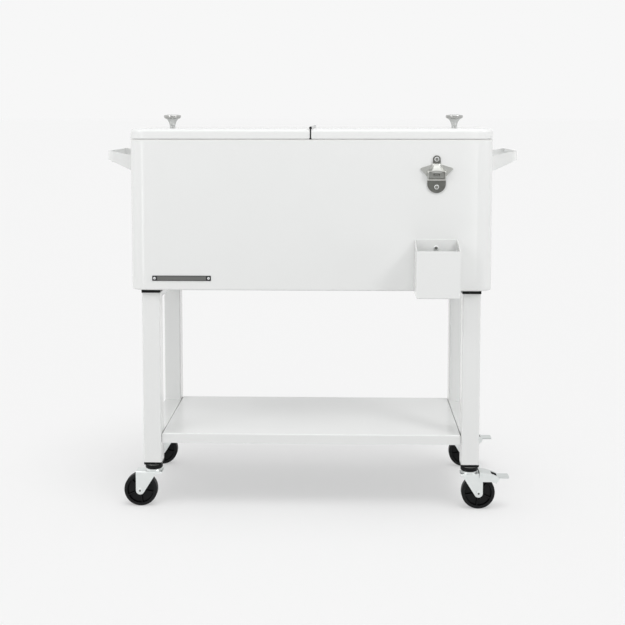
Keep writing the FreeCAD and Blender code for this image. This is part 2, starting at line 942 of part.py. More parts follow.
def make_handle_screws():
    screws = []
    seat = half_length + handle_sheet
    for side in (-1, 1):
        for y, z in handle_screw_places(side):
            shank_end = (side * (seat - handle_screw_length), y, z)
            shank = rod(handle_screw_radius, shank_end, (side * seat, y, z))
            head_end = (side * (seat + handle_screw_head_height), y, z)
            head = rod(handle_screw_head_radius, (side * seat, y, z), head_end)
            screws.append(shank.fuse(head).removeSplitter())
    return screws


# Bottle opener

def opener_back_plate(y0, y1):
    ear_z = rim_top - opener_ear_drop
    shoulder_z = rim_top - opener_shoulder_drop
    wing_z = rim_top - opener_wing_drop
    waist_z = rim_top - opener_waist_drop
    round_z = rim_top - opener_round_drop
    tip = opener_wing_half_width
    half = opener_half_width
    neck = opener_ear_radius
    points = [
        (-neck, ear_z),
        (-neck, shoulder_z),
        (-tip + opener_wing_round, wing_z + opener_wing_round),
        (-tip, wing_z),
        (-tip + opener_wing_round, wing_z - opener_wing_round),
        (-half, waist_z),
        (-half, round_z),
    ]
    mirrored = [(-x, z) for x, z in reversed(points)]
    body = side_outline([(opener_x + x, z) for x, z in points + mirrored], y0, y1)
    ear = rod(neck, (opener_x, y0, ear_z), (opener_x, y1, ear_z))
    foot = rod(half, (opener_x, y0, round_z), (opener_x, y1, round_z))
    return fuse_all([body, ear, foot])


def hood_wire(z, half_width, reach):
    v = FreeCAD.Vector
    back = front_face - opener_plate / 2
    front = front_face - reach
    soft_x = half_width / 3
    soft_y = (back - front) / 2
    points = [
        v(opener_x - half_width, back, z),
        v(opener_x - half_width, front + soft_y, z),
        v(opener_x - half_width + soft_x, front, z),
        v(opener_x + half_width - soft_x, front, z),
        v(opener_x + half_width, front + soft_y, z),
        v(opener_x + half_width, back, z),
    ]
    return Part.makePolygon(points + points[:1])


def hood_bell(shrink, z_top, z_low):
    # The flared bell, widening faster towards its lip, made smaller by a wall for its inside
    top_reach = opener_plate + opener_hood_wall
    wires = []
    for drop_share, width_share, reach_share in opener_hood_sections_shares:
        z = z_top + (z_low - z_top) * drop_share
        half = opener_hood_top_half_width - shrink
        half += (opener_hood_half_width - opener_hood_top_half_width) * width_share
        reach = top_reach - shrink / 2 + (opener_hood_reach - shrink / 2 - top_reach) * reach_share
        wires.append(hood_wire(z, half, reach))
    return Part.makeLoft(wires, True, False)


def make_opener():
    back = front_face
    plate_front = front_face - opener_plate
    hood_top = rim_top - opener_hood_top_drop
    lip_z = rim_top - opener_hood_lip_drop
    ridge_top = rim_top - opener_ridge_drop + opener_ridge_height
    half = opener_half_width
    plate = opener_back_plate(plate_front, back)
    wall = opener_hood_wall
    hood = hood_bell(0, hood_top, lip_z)
    room = hood_bell(wall, hood_top - wall, lip_z)
    behind = block(opener_x - 2 * half, opener_x + 2 * half, plate_front, back + overrun, lip_z, hood_top)
    # The lip rises to the middle in a shallow arch
    wide = opener_hood_half_width
    arch_radius = (wide * wide + opener_hood_arch * opener_hood_arch) / (2 * opener_hood_arch)
    arch_z = lip_z + opener_hood_arch - arch_radius
    arch = rod(
        arch_radius,
        (opener_x, front_face - 2 * opener_hood_reach, arch_z),
        (opener_x, plate_front, arch_z),
    )
    parts = [plate, hood.cut(room.cut(behind)).cut(arch)]
    for side in (-1, 1):
        x = opener_x + side * half
        cheek = end_outline(
            [
                (plate_front, lip_z + opener_hood_arch),
                (front_face - opener_cheek_reach, lip_z),
                (front_face - opener_ridge_reach, ridge_top - opener_ridge_slope),
                (plate_front, ridge_top - opener_ridge_slope),
            ],
            min(x, x - side * wall),
            max(x, x - side * wall),
        )
        parts.append(cheek)
    # A ridge with a sloping top ends the mouth
    ridge = end_outline(
        [
            (plate_front, ridge_top),
            (front_face - opener_ridge_reach, ridge_top - opener_ridge_slope),
            (front_face - opener_ridge_reach, ridge_top - opener_ridge_height),
            (plate_front, ridge_top - opener_ridge_height),
        ],
        opener_x - half,
        opener_x + half,
    )
    parts.append(ridge)
    # The tooth that catches under the bottle cap's edge
    tooth_z = rim_top - opener_tooth_drop
    tooth_half = opener_tooth_half_width
    tooth = end_outline(
        [
            (plate_front, tooth_z + opener_plate),
            (front_face - opener_tooth_reach, tooth_z + opener_plate / 2),
            (front_face - opener_tooth_reach, tooth_z),
            (plate_front, tooth_z - opener_plate / 2),
        ],
        opener_x - tooth_half,
        opener_x + tooth_half,
    )
    tooth_y = front_face - opener_tooth_reach + tooth_half
    tooth_round = rod(
        tooth_half,
        (opener_x, tooth_y, tooth_z - opener_plate),
        (opener_x, tooth_y, tooth_z + 2 * opener_plate),
    )
    parts.append(tooth.common(tooth_round))
    opener = fuse_all(parts)
    holes = []
    for z in opener_screw_heights():
        start = (opener_x, front_face + overrun, z)
        end = (opener_x, front_face - opener_hood_reach - overrun, z)
        holes.append(rod(opener_screw_radius + screw_hole_clearance, start, end))
    return opener.cut(Part.makeCompound(holes))


def front_screw(x, z, seat, radius, length, head_radius, head_height):
    shank = rod(radius, (x, seat + length, z), (x, seat, z))
    head = rod(head_radius, (x, seat, z), (x, seat - head_height, z))
    return shank.fuse(head).removeSplitter()


def make_opener_screws():
    seat = front_face - opener_plate
    screws = []
    for z in opener_screw_heights():
        screws.append(front_screw(
            opener_x, z, seat,
            opener_screw_radius, opener_screw_length,
            opener_screw_head_radius, opener_screw_head_height,
        ))
    return screws


# Cap catcher

def make_catcher():
    back = front_face - catcher_gap
    front = back - catcher_depth
    low = chest_bottom - catcher_drop
    half = catcher_width / 2
    sheet = catcher_sheet
    front_top = low + catcher_front_height
    back_top = low + catcher_back_height
    outer = end_outline(
        [(back, low), (front, low), (front, front_top), (back, back_top)],
        catcher_x - half,
        catcher_x + half,
    )
    outer = outer.makeFillet(catcher_fold, level_edges(outer, low))
    room = block(
        catcher_x - half + sheet,
        catcher_x + half - sheet,
        front + sheet,
        back - sheet,
        low + sheet,
        back_top + overrun,
    )
    room = room.makeFillet(catcher_fold - sheet / 2, level_edges(room, low + sheet))
    box = outer.cut(room)
    # The keyhole narrows upwards to the screw that carries the box
    z = catcher_screw_z()
    top_radius = catcher_screw_radius + keyhole_clearance
    foot_z = z - catcher_lift
    y0 = back - 2 * sheet
    y1 = back + sheet
    upper = rod(top_radius, (catcher_x, y0, z), (catcher_x, y1, z))
    lower = rod(keyhole_foot_radius, (catcher_x, y0, foot_z), (catcher_x, y1, foot_z))
    slope = (keyhole_foot_radius - top_radius) / catcher_lift
    cos = math.sqrt(1 - slope * slope)
    neck = side_outline(
        [
            (catcher_x - top_radius * cos, z + top_radius * slope),
            (catcher_x + top_radius * cos, z + top_radius * slope),
            (catcher_x + keyhole_foot_radius * cos, foot_z + keyhole_foot_radius * slope),
            (catcher_x - keyhole_foot_radius * cos, foot_z + keyhole_foot_radius * slope),
        ],
        y0,
        y1,
    )
    return box.cut(fuse_all([upper, lower, neck]))


def make_catcher_screw():
    back = front_face - catcher_gap
    seat = back - catcher_sheet - catcher_gap
    length = catcher_screw_length + front_face - seat
    return front_screw(
        catcher_x, catcher_screw_z(), seat,
        catcher_screw_radius, length - overrun / 2,
        catcher_screw_head_radius, catcher_screw_head_height,
    )


# Name plate

def make_name_plate():
    z = chest_bottom + plate_rise
    half = plate_height / 2
    reach = plate_length / 2
    y = front_face - plate_sheet
    plate = block(plate_x - reach, plate_x + reach, y, front_face, z - half, z + half)
    corners = []
    for edge in plate.Edges:
        if edge.BoundBox.YLength > plate_sheet / 2:
            corners.append(edge)
    plate = plate.makeFillet(plate_corner, corners)
    holes = []
    for x, rivet_z in plate_rivet_places():
        start = (x, front_face + overrun, rivet_z)
        holes.append(rod(plate_rivet_radius, start, (x, y - overrun, rivet_z)))
    return plate.cut(Part.makeCompound(holes))


def make_plate_rivets():
    rivets = []
    for x, z in plate_rivet_places():
        rivets.append(front_screw(
            x, z, front_face - plate_sheet,
            plate_rivet_radius, plate_rivet_length,
            plate_rivet_head_radius, plate_rivet_head_height,
        ))
    return rivets


# Drain

def drain_mouth_z():
    return chest_bottom - drain_tube_drop


def make_drain_spout():
    at = (drain_x, drain_y)
    tube = rod(drain_tube_radius, (*at, drain_mouth_z()), (*at, tub_floor + drain_flange_height))
    flange = rod(drain_flange_radius, (*at, tub_floor), (*at, tub_floor + drain_flange_height))
    edges = level_edges(flange, tub_floor + drain_flange_height)
    flange = flange.makeFillet(drain_flange_height / 2, edges)
    bore = rod(drain_bore_radius, (*at, drain_mouth_z() - overrun), (*at, tub_floor + 2 * overrun))
    return tube.fuse(flange).removeSplitter().cut(bore)


def hexagon(radius, x, y, z0, z1):
    v = FreeCAD.Vector
    points = []
    for i in range(6):
        angle = math.radians(60 * i)
        points.append(v(x + radius * math.cos(angle), y + radius * math.sin(angle), z0))
    face = Part.Face(Part.makePolygon(points + points[:1]))
    return face.extrude(v(0, 0, z1 - z0))


def make_drain_nut():
    at = (drain_x, drain_y)
    high = pan_bottom
    nut = hexagon(drain_nut_radius, drain_x, drain_y, high - drain_nut_height, high)
    bore = rod(drain_tube_radius + drain_cap_fit / 3, (*at, high - 2 * drain_nut_height), (*at, high + overrun))
    return nut.cut(bore)


def make_drain_cap():
    at = (drain_x, drain_y)
    mouth = drain_mouth_z()
    floor = mouth - drain_cap_fit
    bottom = floor - drain_cap_wall
    top = mouth + drain_cap_skirt
    cap = rod(drain_cap_radius, (*at, bottom), (*at, top))
    cap = cap.makeFillet(drain_grip_radius, level_edges(cap, bottom))
    room = rod(drain_tube_radius + drain_cap_fit, (*at, floor), (*at, top + overrun))
    cuts = [room]
    for i in range(drain_grip_count):
        angle = 2 * math.pi * i / drain_grip_count
        x = drain_x + (drain_cap_radius + drain_grip_radius / 2) * math.cos(angle)
        y = drain_y + (drain_cap_radius + drain_grip_radius / 2) * math.sin(angle)
        cuts.append(rod(drain_grip_radius, (x, y, bottom - overrun), (x, y, top + overrun)))
    return cap.cut(Part.makeCompound(cuts))


# Frame

def square_tube(x, y, z0, z1):
    outer = plan_block(leg_size, leg_size, leg_corner, z0, z1)
    inner = plan_block(
        leg_size - 2 * leg_wall,
        leg_size - 2 * leg_wall,
        max(leg_corner - leg_wall, leg_wall / 2),
        z0 - overrun,
        z1 + overrun,
    )
    tube = outer.cut(inner)
    tube.translate(FreeCAD.Vector(x, y, 0))
    return tube


def rail_tube(side, z0):
    # A flat tube between a front and a rear leg, lying along Y
    half = leg_size / 2
    x = side * leg_x
    outer = block(x - half, x + half, -rail_half_run, rail_half_run, z0, z0 + rail_height)
    long_edges = [edge for edge in outer.Edges if edge.BoundBox.YLength > rail_half_run]
    outer = outer.makeFillet(rail_corner, long_edges)
    wall = rail_wall
    inner = block(
        x - half + wall,
        x + half - wall,
        -rail_half_run - overrun,
        rail_half_run + overrun,
        z0 + wall,
        z0 + rail_height - wall,
    )
    return outer.cut(inner)


def make_shelf_rail(side):
    rail = rail_tube(side, shelf_rise - rail_height)
    holes = []
    for bolt_side, y, z in shelf_bolt_places():
        start = (side * (rail_inner_x - overrun), y, z)
        end = (side * (rail_inner_x + 2 * rail_wall), y, z)
        if bolt_side == side:
            holes.append(rod(shelf_bolt_radius + screw_hole_clearance, start, end))
    return rail.cut(Part.makeCompound(holes))


def make_top_rail(side):
    rail = rail_tube(side, chest_bottom - rail_height)
    holes = []
    for x, y in frame_bolt_places():
        if x * side > 0:
            low = chest_bottom - rail_height - overrun
            room = (x, y, chest_bottom - rail_wall - frame_bolt_head_height)
            access = rod(frame_bolt_head_radius + screw_hole_clearance, (x, y, low), room)
            hole = rod(frame_bolt_radius + screw_hole_clearance, room, (x, y, chest_bottom + overrun))
            holes += [access, hole]
    return rail.cut(Part.makeCompound(holes))


def make_top_pads():
    pads = []
    for x, y in leg_places.values():
        size = leg_size + 2 * top_pad_overhang
        pad = plan_block(size, size, leg_corner, leg_top, chest_bottom)
        inner = leg_size - 2 * leg_wall - 2 * plug_fit
        plug = plan_block(inner, inner, leg_wall, leg_top - top_plug_length, leg_top)
        pad = pad.fuse(plug).removeSplitter()
        pad.translate(FreeCAD.Vector(x, y, 0))
        # The side that meets the top rail is cut back flush with the leg
        toward = -1 if y > 0 else 1
        edge = y + toward * leg_size / 2
        pad = pad.cut(block(x - size, x + size, edge, edge + toward * overrun, leg_top, chest_bottom + overrun))
        pads.append(pad)
    return pads


def make_foot_plugs():
    plugs = []
    for x, y in leg_places.values():
        flange = plan_block(leg_size, leg_size, leg_corner, caster_height, leg_bottom)
        inner = leg_size - 2 * leg_wall - 2 * plug_fit
        body = plan_block(inner, inner, leg_wall, leg_bottom, leg_bottom + foot_plug_length)
        plug = flange.fuse(body).removeSplitter()
        socket = rod(stem_radius, (0, 0, caster_height - overrun), (0, 0, caster_height + stem_rise))
        plug = plug.cut(socket)
        plug.translate(FreeCAD.Vector(x, y, 0))
        plugs.append(plug)
    return plugs


def make_frame_bolts():
    bolts = []
    for x, y in frame_bolt_places():
        seat = chest_bottom - rail_wall
        top = chest_bottom + frame_bolt_length
        shank = rod(frame_bolt_radius, (x, y, seat), (x, y, top))
        head = hexagon(frame_bolt_head_radius, x, y, seat - frame_bolt_head_height, seat)
        nut = hexagon(frame_bolt_head_radius, x, y, pan_top, pan_top + frame_nut_height)
        nut = nut.cut(rod(frame_bolt_radius, (x, y, pan_top - overrun), (x, y, top + overrun)))
        bolts.append(shank.fuse(head).removeSplitter())
        bolts.append(nut)
    return bolts


# Shelf

def shelf_bolt_places():
    z = shelf_rise - shelf_lip / 2
    reach = rail_half_run - shelf_bolt_inset
    return [(sx, sy * reach, z) for sx in (-1, 1) for sy in (-1, 1)]


def make_shelf():
    half = shelf_half_length
    low = shelf_rise - shelf_lip
    tray = block(-half, half, shelf_front, shelf_back, low, shelf_rise)
    tray = tray.makeFillet(shelf_fold, level_edges(tray, shelf_rise))
    sheet = shelf_sheet
    room = block(
        -half + sheet,
        half - sheet,
        shelf_front + sheet,
        shelf_back - sheet,
        low - overrun,
        shelf_rise - sheet,
    )
    room = room.makeFillet(shelf_fold - sheet, level_edges(room, shelf_rise - sheet))
    tray = tray.cut(room)
    holes = []
    for side, y, z in shelf_bolt_places():
        start = (side * (half - overrun), y, z)
        end = (side * (half + overrun), y, z)
        holes.append(rod(shelf_bolt_radius + screw_hole_clearance, start, end))
    return tray.cut(Part.makeCompound(holes))


def make_shelf_bolts():
    bolts = []
    for side, y, z in shelf_bolt_places():
        seat = shelf_half_length - shelf_sheet
        tip = rail_inner_x + rail_wall + shelf_nut_height
        shank = rod(shelf_bolt_radius, (side * seat, y, z), (side * tip, y, z))
        head_start = seat - shelf_bolt_head_height
        head = rod(shelf_bolt_head_radius, (side * head_start, y, z), (side * seat, y, z))
        nut_seat = rail_inner_x + rail_wall
        nut = rod(shelf_bolt_head_radius, (side * nut_seat, y, z), (side * tip, y, z))
        bolts.append(fuse_all([shank, head, nut]))
    return bolts


# Casters

def make_caster_stems():
    stems = []
    for x, y in leg_places.values():
        low = fork_under - swivel_gap
        shaft = rod(stem_radius, (x, y, low - stem_rivet_height), (x, y, caster_height + stem_rise))
        rivet = rod(stem_rivet_radius, (x, y, low - stem_rivet_height), (x, y, low))
        stems.append(shaft.fuse(rivet).removeSplitter())
    return stems


def make_swivel_caps():
    caps = []
    for x, y in leg_places.values():
        cap = rod(swivel_cap_radius, (x, y, cap_bottom), (x, y, caster_height))
        cap = cap.makeFillet(swivel_cap_round, level_edges(cap, cap_bottom))
        caps.append(cap.cut(rod(stem_radius, (x, y, cap_bottom - overrun), (x, y, caster_height + overrun))))
    return caps


def foot_tangent(centre_x, from_x, from_z):
    # Where a line from a point above touches the inner side of the fork's round foot
    dx = centre_x - from_x
    dz = axle_z - from_z
    distance = math.hypot(dx, dz)
    toward = math.atan2(dz, dx)
    spread = math.acos(fork_foot_radius / distance)
    angle = toward + math.pi - spread
    first = (centre_x + fork_foot_radius * math.cos(angle), axle_z + fork_foot_radius * math.sin(angle))
    angle = toward + math.pi + spread
    second = (centre_x + fork_foot_radius * math.cos(angle), axle_z + fork_foot_radius * math.sin(angle))
    return first if first[0] < second[0] else second


def make_fork(braked):
    trail = braked_trail if braked else plain_trail
    throat_x = trail - fork_throat_run
    throat_z = fork_top - fork_throat_drop
    tail_z = fork_under - fork_tail_drop
    tangent = foot_tangent(trail, throat_x, throat_z)
    outer_x = trail + fork_foot_radius
    nose_x = fork_nose_reach if braked else outer_x
    nose_low = fork_top - fork_nose_drop
    points = [(-fork_back_reach, fork_top), (-fork_back_reach, tail_z), (throat_x, throat_z), tangent]
    points += [(trail, axle_z), (outer_x, axle_z)]
    if braked:
        points += [(outer_x, nose_low), (nose_x, nose_low)]
    points += [(nose_x, fork_top)]
    plate = side_outline(points, -fork_half, fork_half)
    foot = rod(fork_foot_radius, (trail, -fork_half, axle_z), (trail, fork_half, axle_z))
    fork = fuse_all([plate, foot])
    top_edges = []
    for edge in fork.Edges:
        bounds = edge.BoundBox
        runs_along = bounds.XLength > fork_back_reach and bounds.YLength < fork_sheet
        if runs_along and bounds.ZMin > fork_under:
            top_edges.append(edge)
    fork = fork.makeFillet(fork_bend, top_edges)
    half = fork_inner_width / 2
    low = axle_z - 2 * fork_foot_radius
    room = block(-2 * fork_nose_reach, 2 * fork_nose_reach, -half, half, low, fork_under)
    fork = fork.cut(room)
    race = Part.makeCone(raceway_radius, raceway_radius - fork_sheet, raceway_height, FreeCAD.Vector(0, 0, fork_top))
    race = race.common(block(-fork_back_reach, raceway_radius, -fork_half, fork_half, fork_top, caster_height))
    fork = fork.fuse(race).removeSplitter()
    cuts = [rod(stem_radius + stem_fit, (0, 0, fork_under - overrun), (0, 0, caster_height))]
    cuts.append(rod(axle_radius, (trail, -2 * fork_half, axle_z), (trail, 2 * fork_half, axle_z)))
    if braked:
        start = (lever_pivot_reach, -2 * fork_half, lever_pivot_rise)
        end = (lever_pivot_reach, 2 * fork_half, lever_pivot_rise)
        cuts.append(rod(lever_pivot_radius + lever_pivot_fit, start, end))
    return fork.cut(Part.makeCompound(cuts))


def make_axle(braked):
    trail = braked_trail if braked else plain_trail
    reach = fork_half + axle_head_height
    shaft = rod(axle_radius, (trail, -reach, axle_z), (trail, reach, axle_z))
    parts = [shaft]
    for side in (-1, 1):
        start = (trail, side * fork_half, axle_z)
        head = rod(axle_head_radius, start, (trail, side * reach, axle_z))
        parts.append(head)
    return fuse_all(parts)


def make_wheel(braked):
    trail = braked_trail if braked else plain_trail
    radius = wheel_diameter / 2
    half = wheel_width / 2
    wheel = Part.makeCylinder(radius, wheel_width, FreeCAD.Vector(0, -half, 0), along_y)
    wheel = wheel.makeFillet(wheel_edge_round, [e for e in wheel.Edges if e.BoundBox.YLength < half / 4])
    for side in (-1, 1):
        face = side * half
        floor = side * (half - wheel_recess)
        ring = rod(wheel_rim_radius, (0, floor, 0), (0, face + side * overrun, 0))
        ring = ring.cut(rod(wheel_hub_radius, (0, floor, 0), (0, face + side * overrun, 0)))
        for i in range(wheel_rib_count):
            angle = 360 * i / wheel_rib_count + wheel_rib_start_angle
            rib = block(
                -wheel_rib_width / 2,
                wheel_rib_width / 2,
                floor,
                face - side * wheel_rib_sink,
                0,
                wheel_rim_radius + overrun,
            )
            rib.rotate(FreeCAD.Vector(0, 0, 0), along_y, angle)
            ring = ring.cut(rib)
        wheel = wheel.cut(ring)
    hub_reach = fork_inner_width / 2 - hub_gap
    hub = rod(wheel_hub_radius, (0, -hub_reach, 0), (0, hub_reach, 0))
    wheel = wheel.fuse(hub).removeSplitter()
    bore = rod(axle_radius + axle_fit, (0, -2 * half, 0), (0, 2 * half, 0))
    wheel = wheel.cut(bore)
    wheel.translate(FreeCAD.Vector(trail, 0, axle_z))
    return wheel


def lever_side(low_points, drop, back_reach, half):
    # The lever's side view: an arched roof above a row of lower points, front to back
    v = FreeCAD.Vector
    back = v(back_reach, -half, lever_back_rise - drop)
    knee = v(lever_knee_reach, -half, lever_knee_rise - drop)
    end = v(lever_end_reach, -half, lever_end_rise - drop)
    corners = [end] + [v(x, -half, z) for x, z in low_points] + [back]
    sides = [Part.Arc(back, knee, end).toShape()]
    for start, stop in zip(corners, corners[1:]):
        sides.append(Part.LineSegment(start, stop).toShape())
    face = Part.Face(Part.Wire(sides))
    return face.extrude(v(0, 2 * half, 0))


def make_brake_lever():
    pivot_x = lever_pivot_reach
    pivot_z = lever_pivot_rise
    sheet = lever_sheet
    outline = [
        (lever_tip_reach, lever_tip_rise),
        (lever_toe_reach, lever_toe_rise),
        (lever_belly_end, lever_belly_rise),
        (lever_belly_start, lever_belly_rise),
        (lever_back_reach, lever_heel_rise),
    ]
    body = lever_side(outline, 0, lever_back_reach, lever_half)
    room_points = [
        (lever_tip_reach + overrun, lever_end_rise - sheet),
        (lever_tip_reach + overrun, axle_z),
        (lever_back_reach - overrun, axle_z),
        (lever_back_reach - overrun, lever_back_rise - sheet),
    ]
    room = lever_side(room_points, sheet, lever_back_reach, lever_inner)
    lever = body.cut(room)
    slot = block(
        lever_slot_start,
        lever_slot_start + lever_slot_length,
        -lever_slot_width / 2,
        lever_slot_width / 2,
        lever_end_rise - 2 * sheet,
        lever_back_rise,
    )
    lever = lever.cut(slot)
    shoe = block(
        shoe_reach - sheet,
        shoe_reach,
        -lever_inner,
        lever_inner,
        shoe_foot_rise,
        lever_knee_rise - sheet / 2,
    )
    pedal_start = lever_end_reach - sheet
    pedal_run = pedal_reach - pedal_start
    pedal = plan_block(pedal_run, pedal_width, pedal_corner, lever_end_rise - pedal_sheet, lever_end_rise)
    pedal.translate(FreeCAD.Vector(pedal_start + pedal_run / 2, 0, 0))
    pin_reach = lever_half + lever_pivot_head_height
    pin = rod(lever_pivot_radius, (pivot_x, -pin_reach, pivot_z), (pivot_x, pin_reach, pivot_z))
    heads = []
    for side in (-1, 1):
        start = (pivot_x, side * lever_half, pivot_z)
        heads.append(rod(lever_pivot_head_radius, start, (pivot_x, side * pin_reach, pivot_z)))
    # A plate across the open end carries the pedal
    end_plate = block(
        lever_end_reach - sheet,
        lever_end_reach,
        -lever_inner,
        lever_inner,
        lever_toe_rise + pedal_sheet,
        lever_end_rise - sheet / 2,
    )
    return fuse_all([lever, shoe, end_plate, pedal, pin] + heads)


def place_caster(shape, name):
    # A caster part is drawn trailing towards +X, and the left ones are turned round
    x, y = leg_places[name]
    placed = shape.copy()
    if x < 0:
        placed.rotate(FreeCAD.Vector(0, 0, 0), up, 180)
    placed.translate(FreeCAD.Vector(x, y, 0))
    return placed


# Write every piece

os.makedirs("parts", exist_ok=True)

save("outer_shell", make_outer_shell())
save("bottom_pan", make_bottom_pan())
save("insulation_foam", make_foam())
save("tub_liner", make_tub_liner())
save("centre_bar", make_centre_bar())
save_group("centre_bar_screws", make_bar_screws())
save("centre_hinge_leaf", make_centre_leaf())
save("hinge_pin", make_hinge_pin())
save_group("hinge_end_caps", make_hinge_caps())

for side, label in ((-1, "left"), (1, "right")):
    save(label + "_lid_shell", make_lid_shell(side))
    save(label + "_lid_liner", make_lid_liner(side))
    save(label + "_lid_foam", make_lid_foam(side))
    save(label + "_lid_knob", make_knob(side))
    save(label + "_hinge_leaf", make_lid_leaf(side, label))
    save(label + "_handle", make_handle(side))
    save(label + "_shelf_rail", make_shelf_rail(side))
    save(label + "_top_rail", make_top_rail(side))

save_group("handle_screws", make_handle_screws())
save("bottle_opener", make_opener())
save_group("opener_screws", make_opener_screws())
save("cap_catcher", make_catcher())
save("catcher_screw", make_catcher_screw())
save("name_plate", make_name_plate())
save_group("name_plate_rivets", make_plate_rivets())
save("drain_spout", make_drain_spout())
save("drain_nut", make_drain_nut())
save("drain_cap", make_drain_cap())

save_group("leg_top_pads", make_top_pads())
save_group("leg_foot_plugs", make_foot_plugs())
save_group("frame_bolts", make_frame_bolts())
save("bottom_shelf", make_shelf())
save_group("shelf_bolts", make_shelf_bolts())
save_group("caster_stems", make_caster_stems())
save_group("swivel_caps", make_swivel_caps())

brake_lever = make_brake_lever()
for name, (x, y) in leg_places.items():
    braked = x > 0
    save(name + "_leg", square_tube(x, y, leg_bottom, leg_top))
    save(name + "_fork", place_caster(make_fork(braked), name))
    save(name + "_axle", place_caster(make_axle(braked), name))
    save(name + "_wheel", place_caster(make_wheel(braked), name))
    if braked:
        save(name + "_brake_lever", place_caster(brake_lever, name))
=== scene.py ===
import bpy
import json
import math
import bmesh
from mathutils import Matrix, Vector


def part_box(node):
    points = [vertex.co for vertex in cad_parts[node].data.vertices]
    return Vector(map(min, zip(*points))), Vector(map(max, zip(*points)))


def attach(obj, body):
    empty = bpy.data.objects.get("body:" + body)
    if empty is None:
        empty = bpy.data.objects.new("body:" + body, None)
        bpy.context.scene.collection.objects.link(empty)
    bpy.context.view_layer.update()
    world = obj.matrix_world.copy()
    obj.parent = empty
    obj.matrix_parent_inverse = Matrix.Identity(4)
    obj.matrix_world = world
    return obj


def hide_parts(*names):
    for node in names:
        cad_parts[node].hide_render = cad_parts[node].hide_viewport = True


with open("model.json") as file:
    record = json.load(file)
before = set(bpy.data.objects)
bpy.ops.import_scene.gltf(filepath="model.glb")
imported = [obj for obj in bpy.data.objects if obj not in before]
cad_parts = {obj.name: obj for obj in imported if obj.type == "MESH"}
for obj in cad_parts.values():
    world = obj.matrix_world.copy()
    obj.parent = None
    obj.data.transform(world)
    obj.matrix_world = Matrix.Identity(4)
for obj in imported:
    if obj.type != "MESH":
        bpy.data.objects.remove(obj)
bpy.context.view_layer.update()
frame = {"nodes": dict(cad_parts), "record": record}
nodes = frame["nodes"]
mm = 0.001


# Colours and material nodes

def srgb(hexText):
    # Hex sRGB to the linear numbers that the shader wants
    values = []
    for start in (0, 2, 4):
        channel = int(hexText[start:start + 2], 16) / 255
        values.append(channel / 12.92 if channel <= 0.04045 else ((channel + 0.055) / 1.055) ** 2.4)
    return (*values, 1.0)


def addNode(tree, kind, settings=None, links=None):
    # One node, its fixed numbers and what feeds its inputs
    node = tree.nodes.new(kind)
    for name, value in (settings or {}).items():
        if isinstance(name, int) or name in node.inputs:
            node.inputs[name].default_value = value
        else:
            setattr(node, name, value)
    for name, source in (links or {}).items():
        tree.links.new(source, node.inputs[name])
    return node


def startMaterial(name):
    material = bpy.data.materials.new(name)
    material.use_nodes = True
    tree = material.node_tree
    return material, tree, tree.nodes["Principled BSDF"]


# What the grain and wear of all finishes have in common
wear = {"bumpShare": 0.25, "grainDetail": 2.0, "cloudDetail": 3.0}


def wearAndGrain(tree, shader, look):
    # Fine bump, slight unevenness of gloss and a slight drift of colour
    coords = addNode(tree, "ShaderNodeTexCoord").outputs["Object"]
    if "stretch" in look:
        mapping = addNode(tree, "ShaderNodeMapping", {"Scale": look["stretch"]}, {"Vector": coords})
        coords = mapping.outputs["Vector"]
    grain = addNode(
        tree, "ShaderNodeTexNoise",
        {"Scale": 1 / (look["grainMm"] * mm), "Detail": wear["grainDetail"]},
        {"Vector": coords},
    )
    bump = addNode(
        tree, "ShaderNodeBump",
        {"Strength": look["bump"], "Distance": look["grainMm"] * mm * wear["bumpShare"]},
        {"Height": grain.outputs["Fac"]},
    )
    tree.links.new(bump.outputs["Normal"], shader.inputs["Normal"])
    cloud = addNode(
        tree, "ShaderNodeTexNoise",
        {"Scale": 1 / (look["cloudMm"] * mm), "Detail": wear["cloudDetail"]},
        {"Vector": coords},
    )
    rough = addNode(
        tree, "ShaderNodeMapRange",
        {"To Min": look["rough"] - look["roughSpread"], "To Max": look["rough"] + look["roughSpread"]},
        {"Value": cloud.outputs["Fac"]},
    )
    tree.links.new(rough.outputs["Result"], shader.inputs["Roughness"])
    tint = addNode(
        tree, "ShaderNodeMix",
        {"data_type": "RGBA"},
        {"Factor": cloud.outputs["Fac"]},
    )
    tint.inputs["A"].default_value = srgb(look["colour"])
    tint.inputs["B"].default_value = srgb(look["colourB"])
    tree.links.new(tint.outputs["Result"], shader.inputs["Base Color"])


# White powder coat on sheet steel and tube: a hard, slightly glossy paint whose
# fine orange peel breaks up reflections
whitePowder = {"colour": "EBECEB", "colourB": "E9EAE9", "grainMm": 1.2, "bump": 0.10,
               "cloudMm": 90, "rough": 0.36, "roughSpread": 0.03}
# White moulded polypropylene of the tub, lid liners and drain: softer sheen than the paint
whiteMoulding = {"colour": "EAEAE8", "colourB": "E7E7E5", "grainMm": 0.8, "bump": 0.15,
                 "cloudMm": 60, "rough": 0.5, "roughSpread": 0.04}
# Black moulded nylon of the hinge's centre leaf, pads, plugs and swivel caps: dark, with a
# faint grey sheen
blackMoulding = {"colour": "0C0D0E", "colourB": "121314", "grainMm": 0.7, "bump": 0.25,
                 "cloudMm": 25, "rough": 0.42, "roughSpread": 0.06, "specular": 0.16}
# Black moulded polyolefin of the one-piece wheels: a little greyer and duller
blackTread = {"colour": "101112", "colourB": "171819", "grainMm": 0.9, "bump": 0.3,
              "cloudMm": 18, "rough": 0.5, "roughSpread": 0.08, "specular": 0.2}
# Painted shade: the same moulding painted nearly black deep in its pockets, where shade falls
pocketPaintedShade = {"colour": "030303", "colourB": "060606", "grainMm": 0.9, "bump": 0.3,
               "cloudMm": 18, "rough": 0.85, "roughSpread": 0.05, "specular": 0.05}
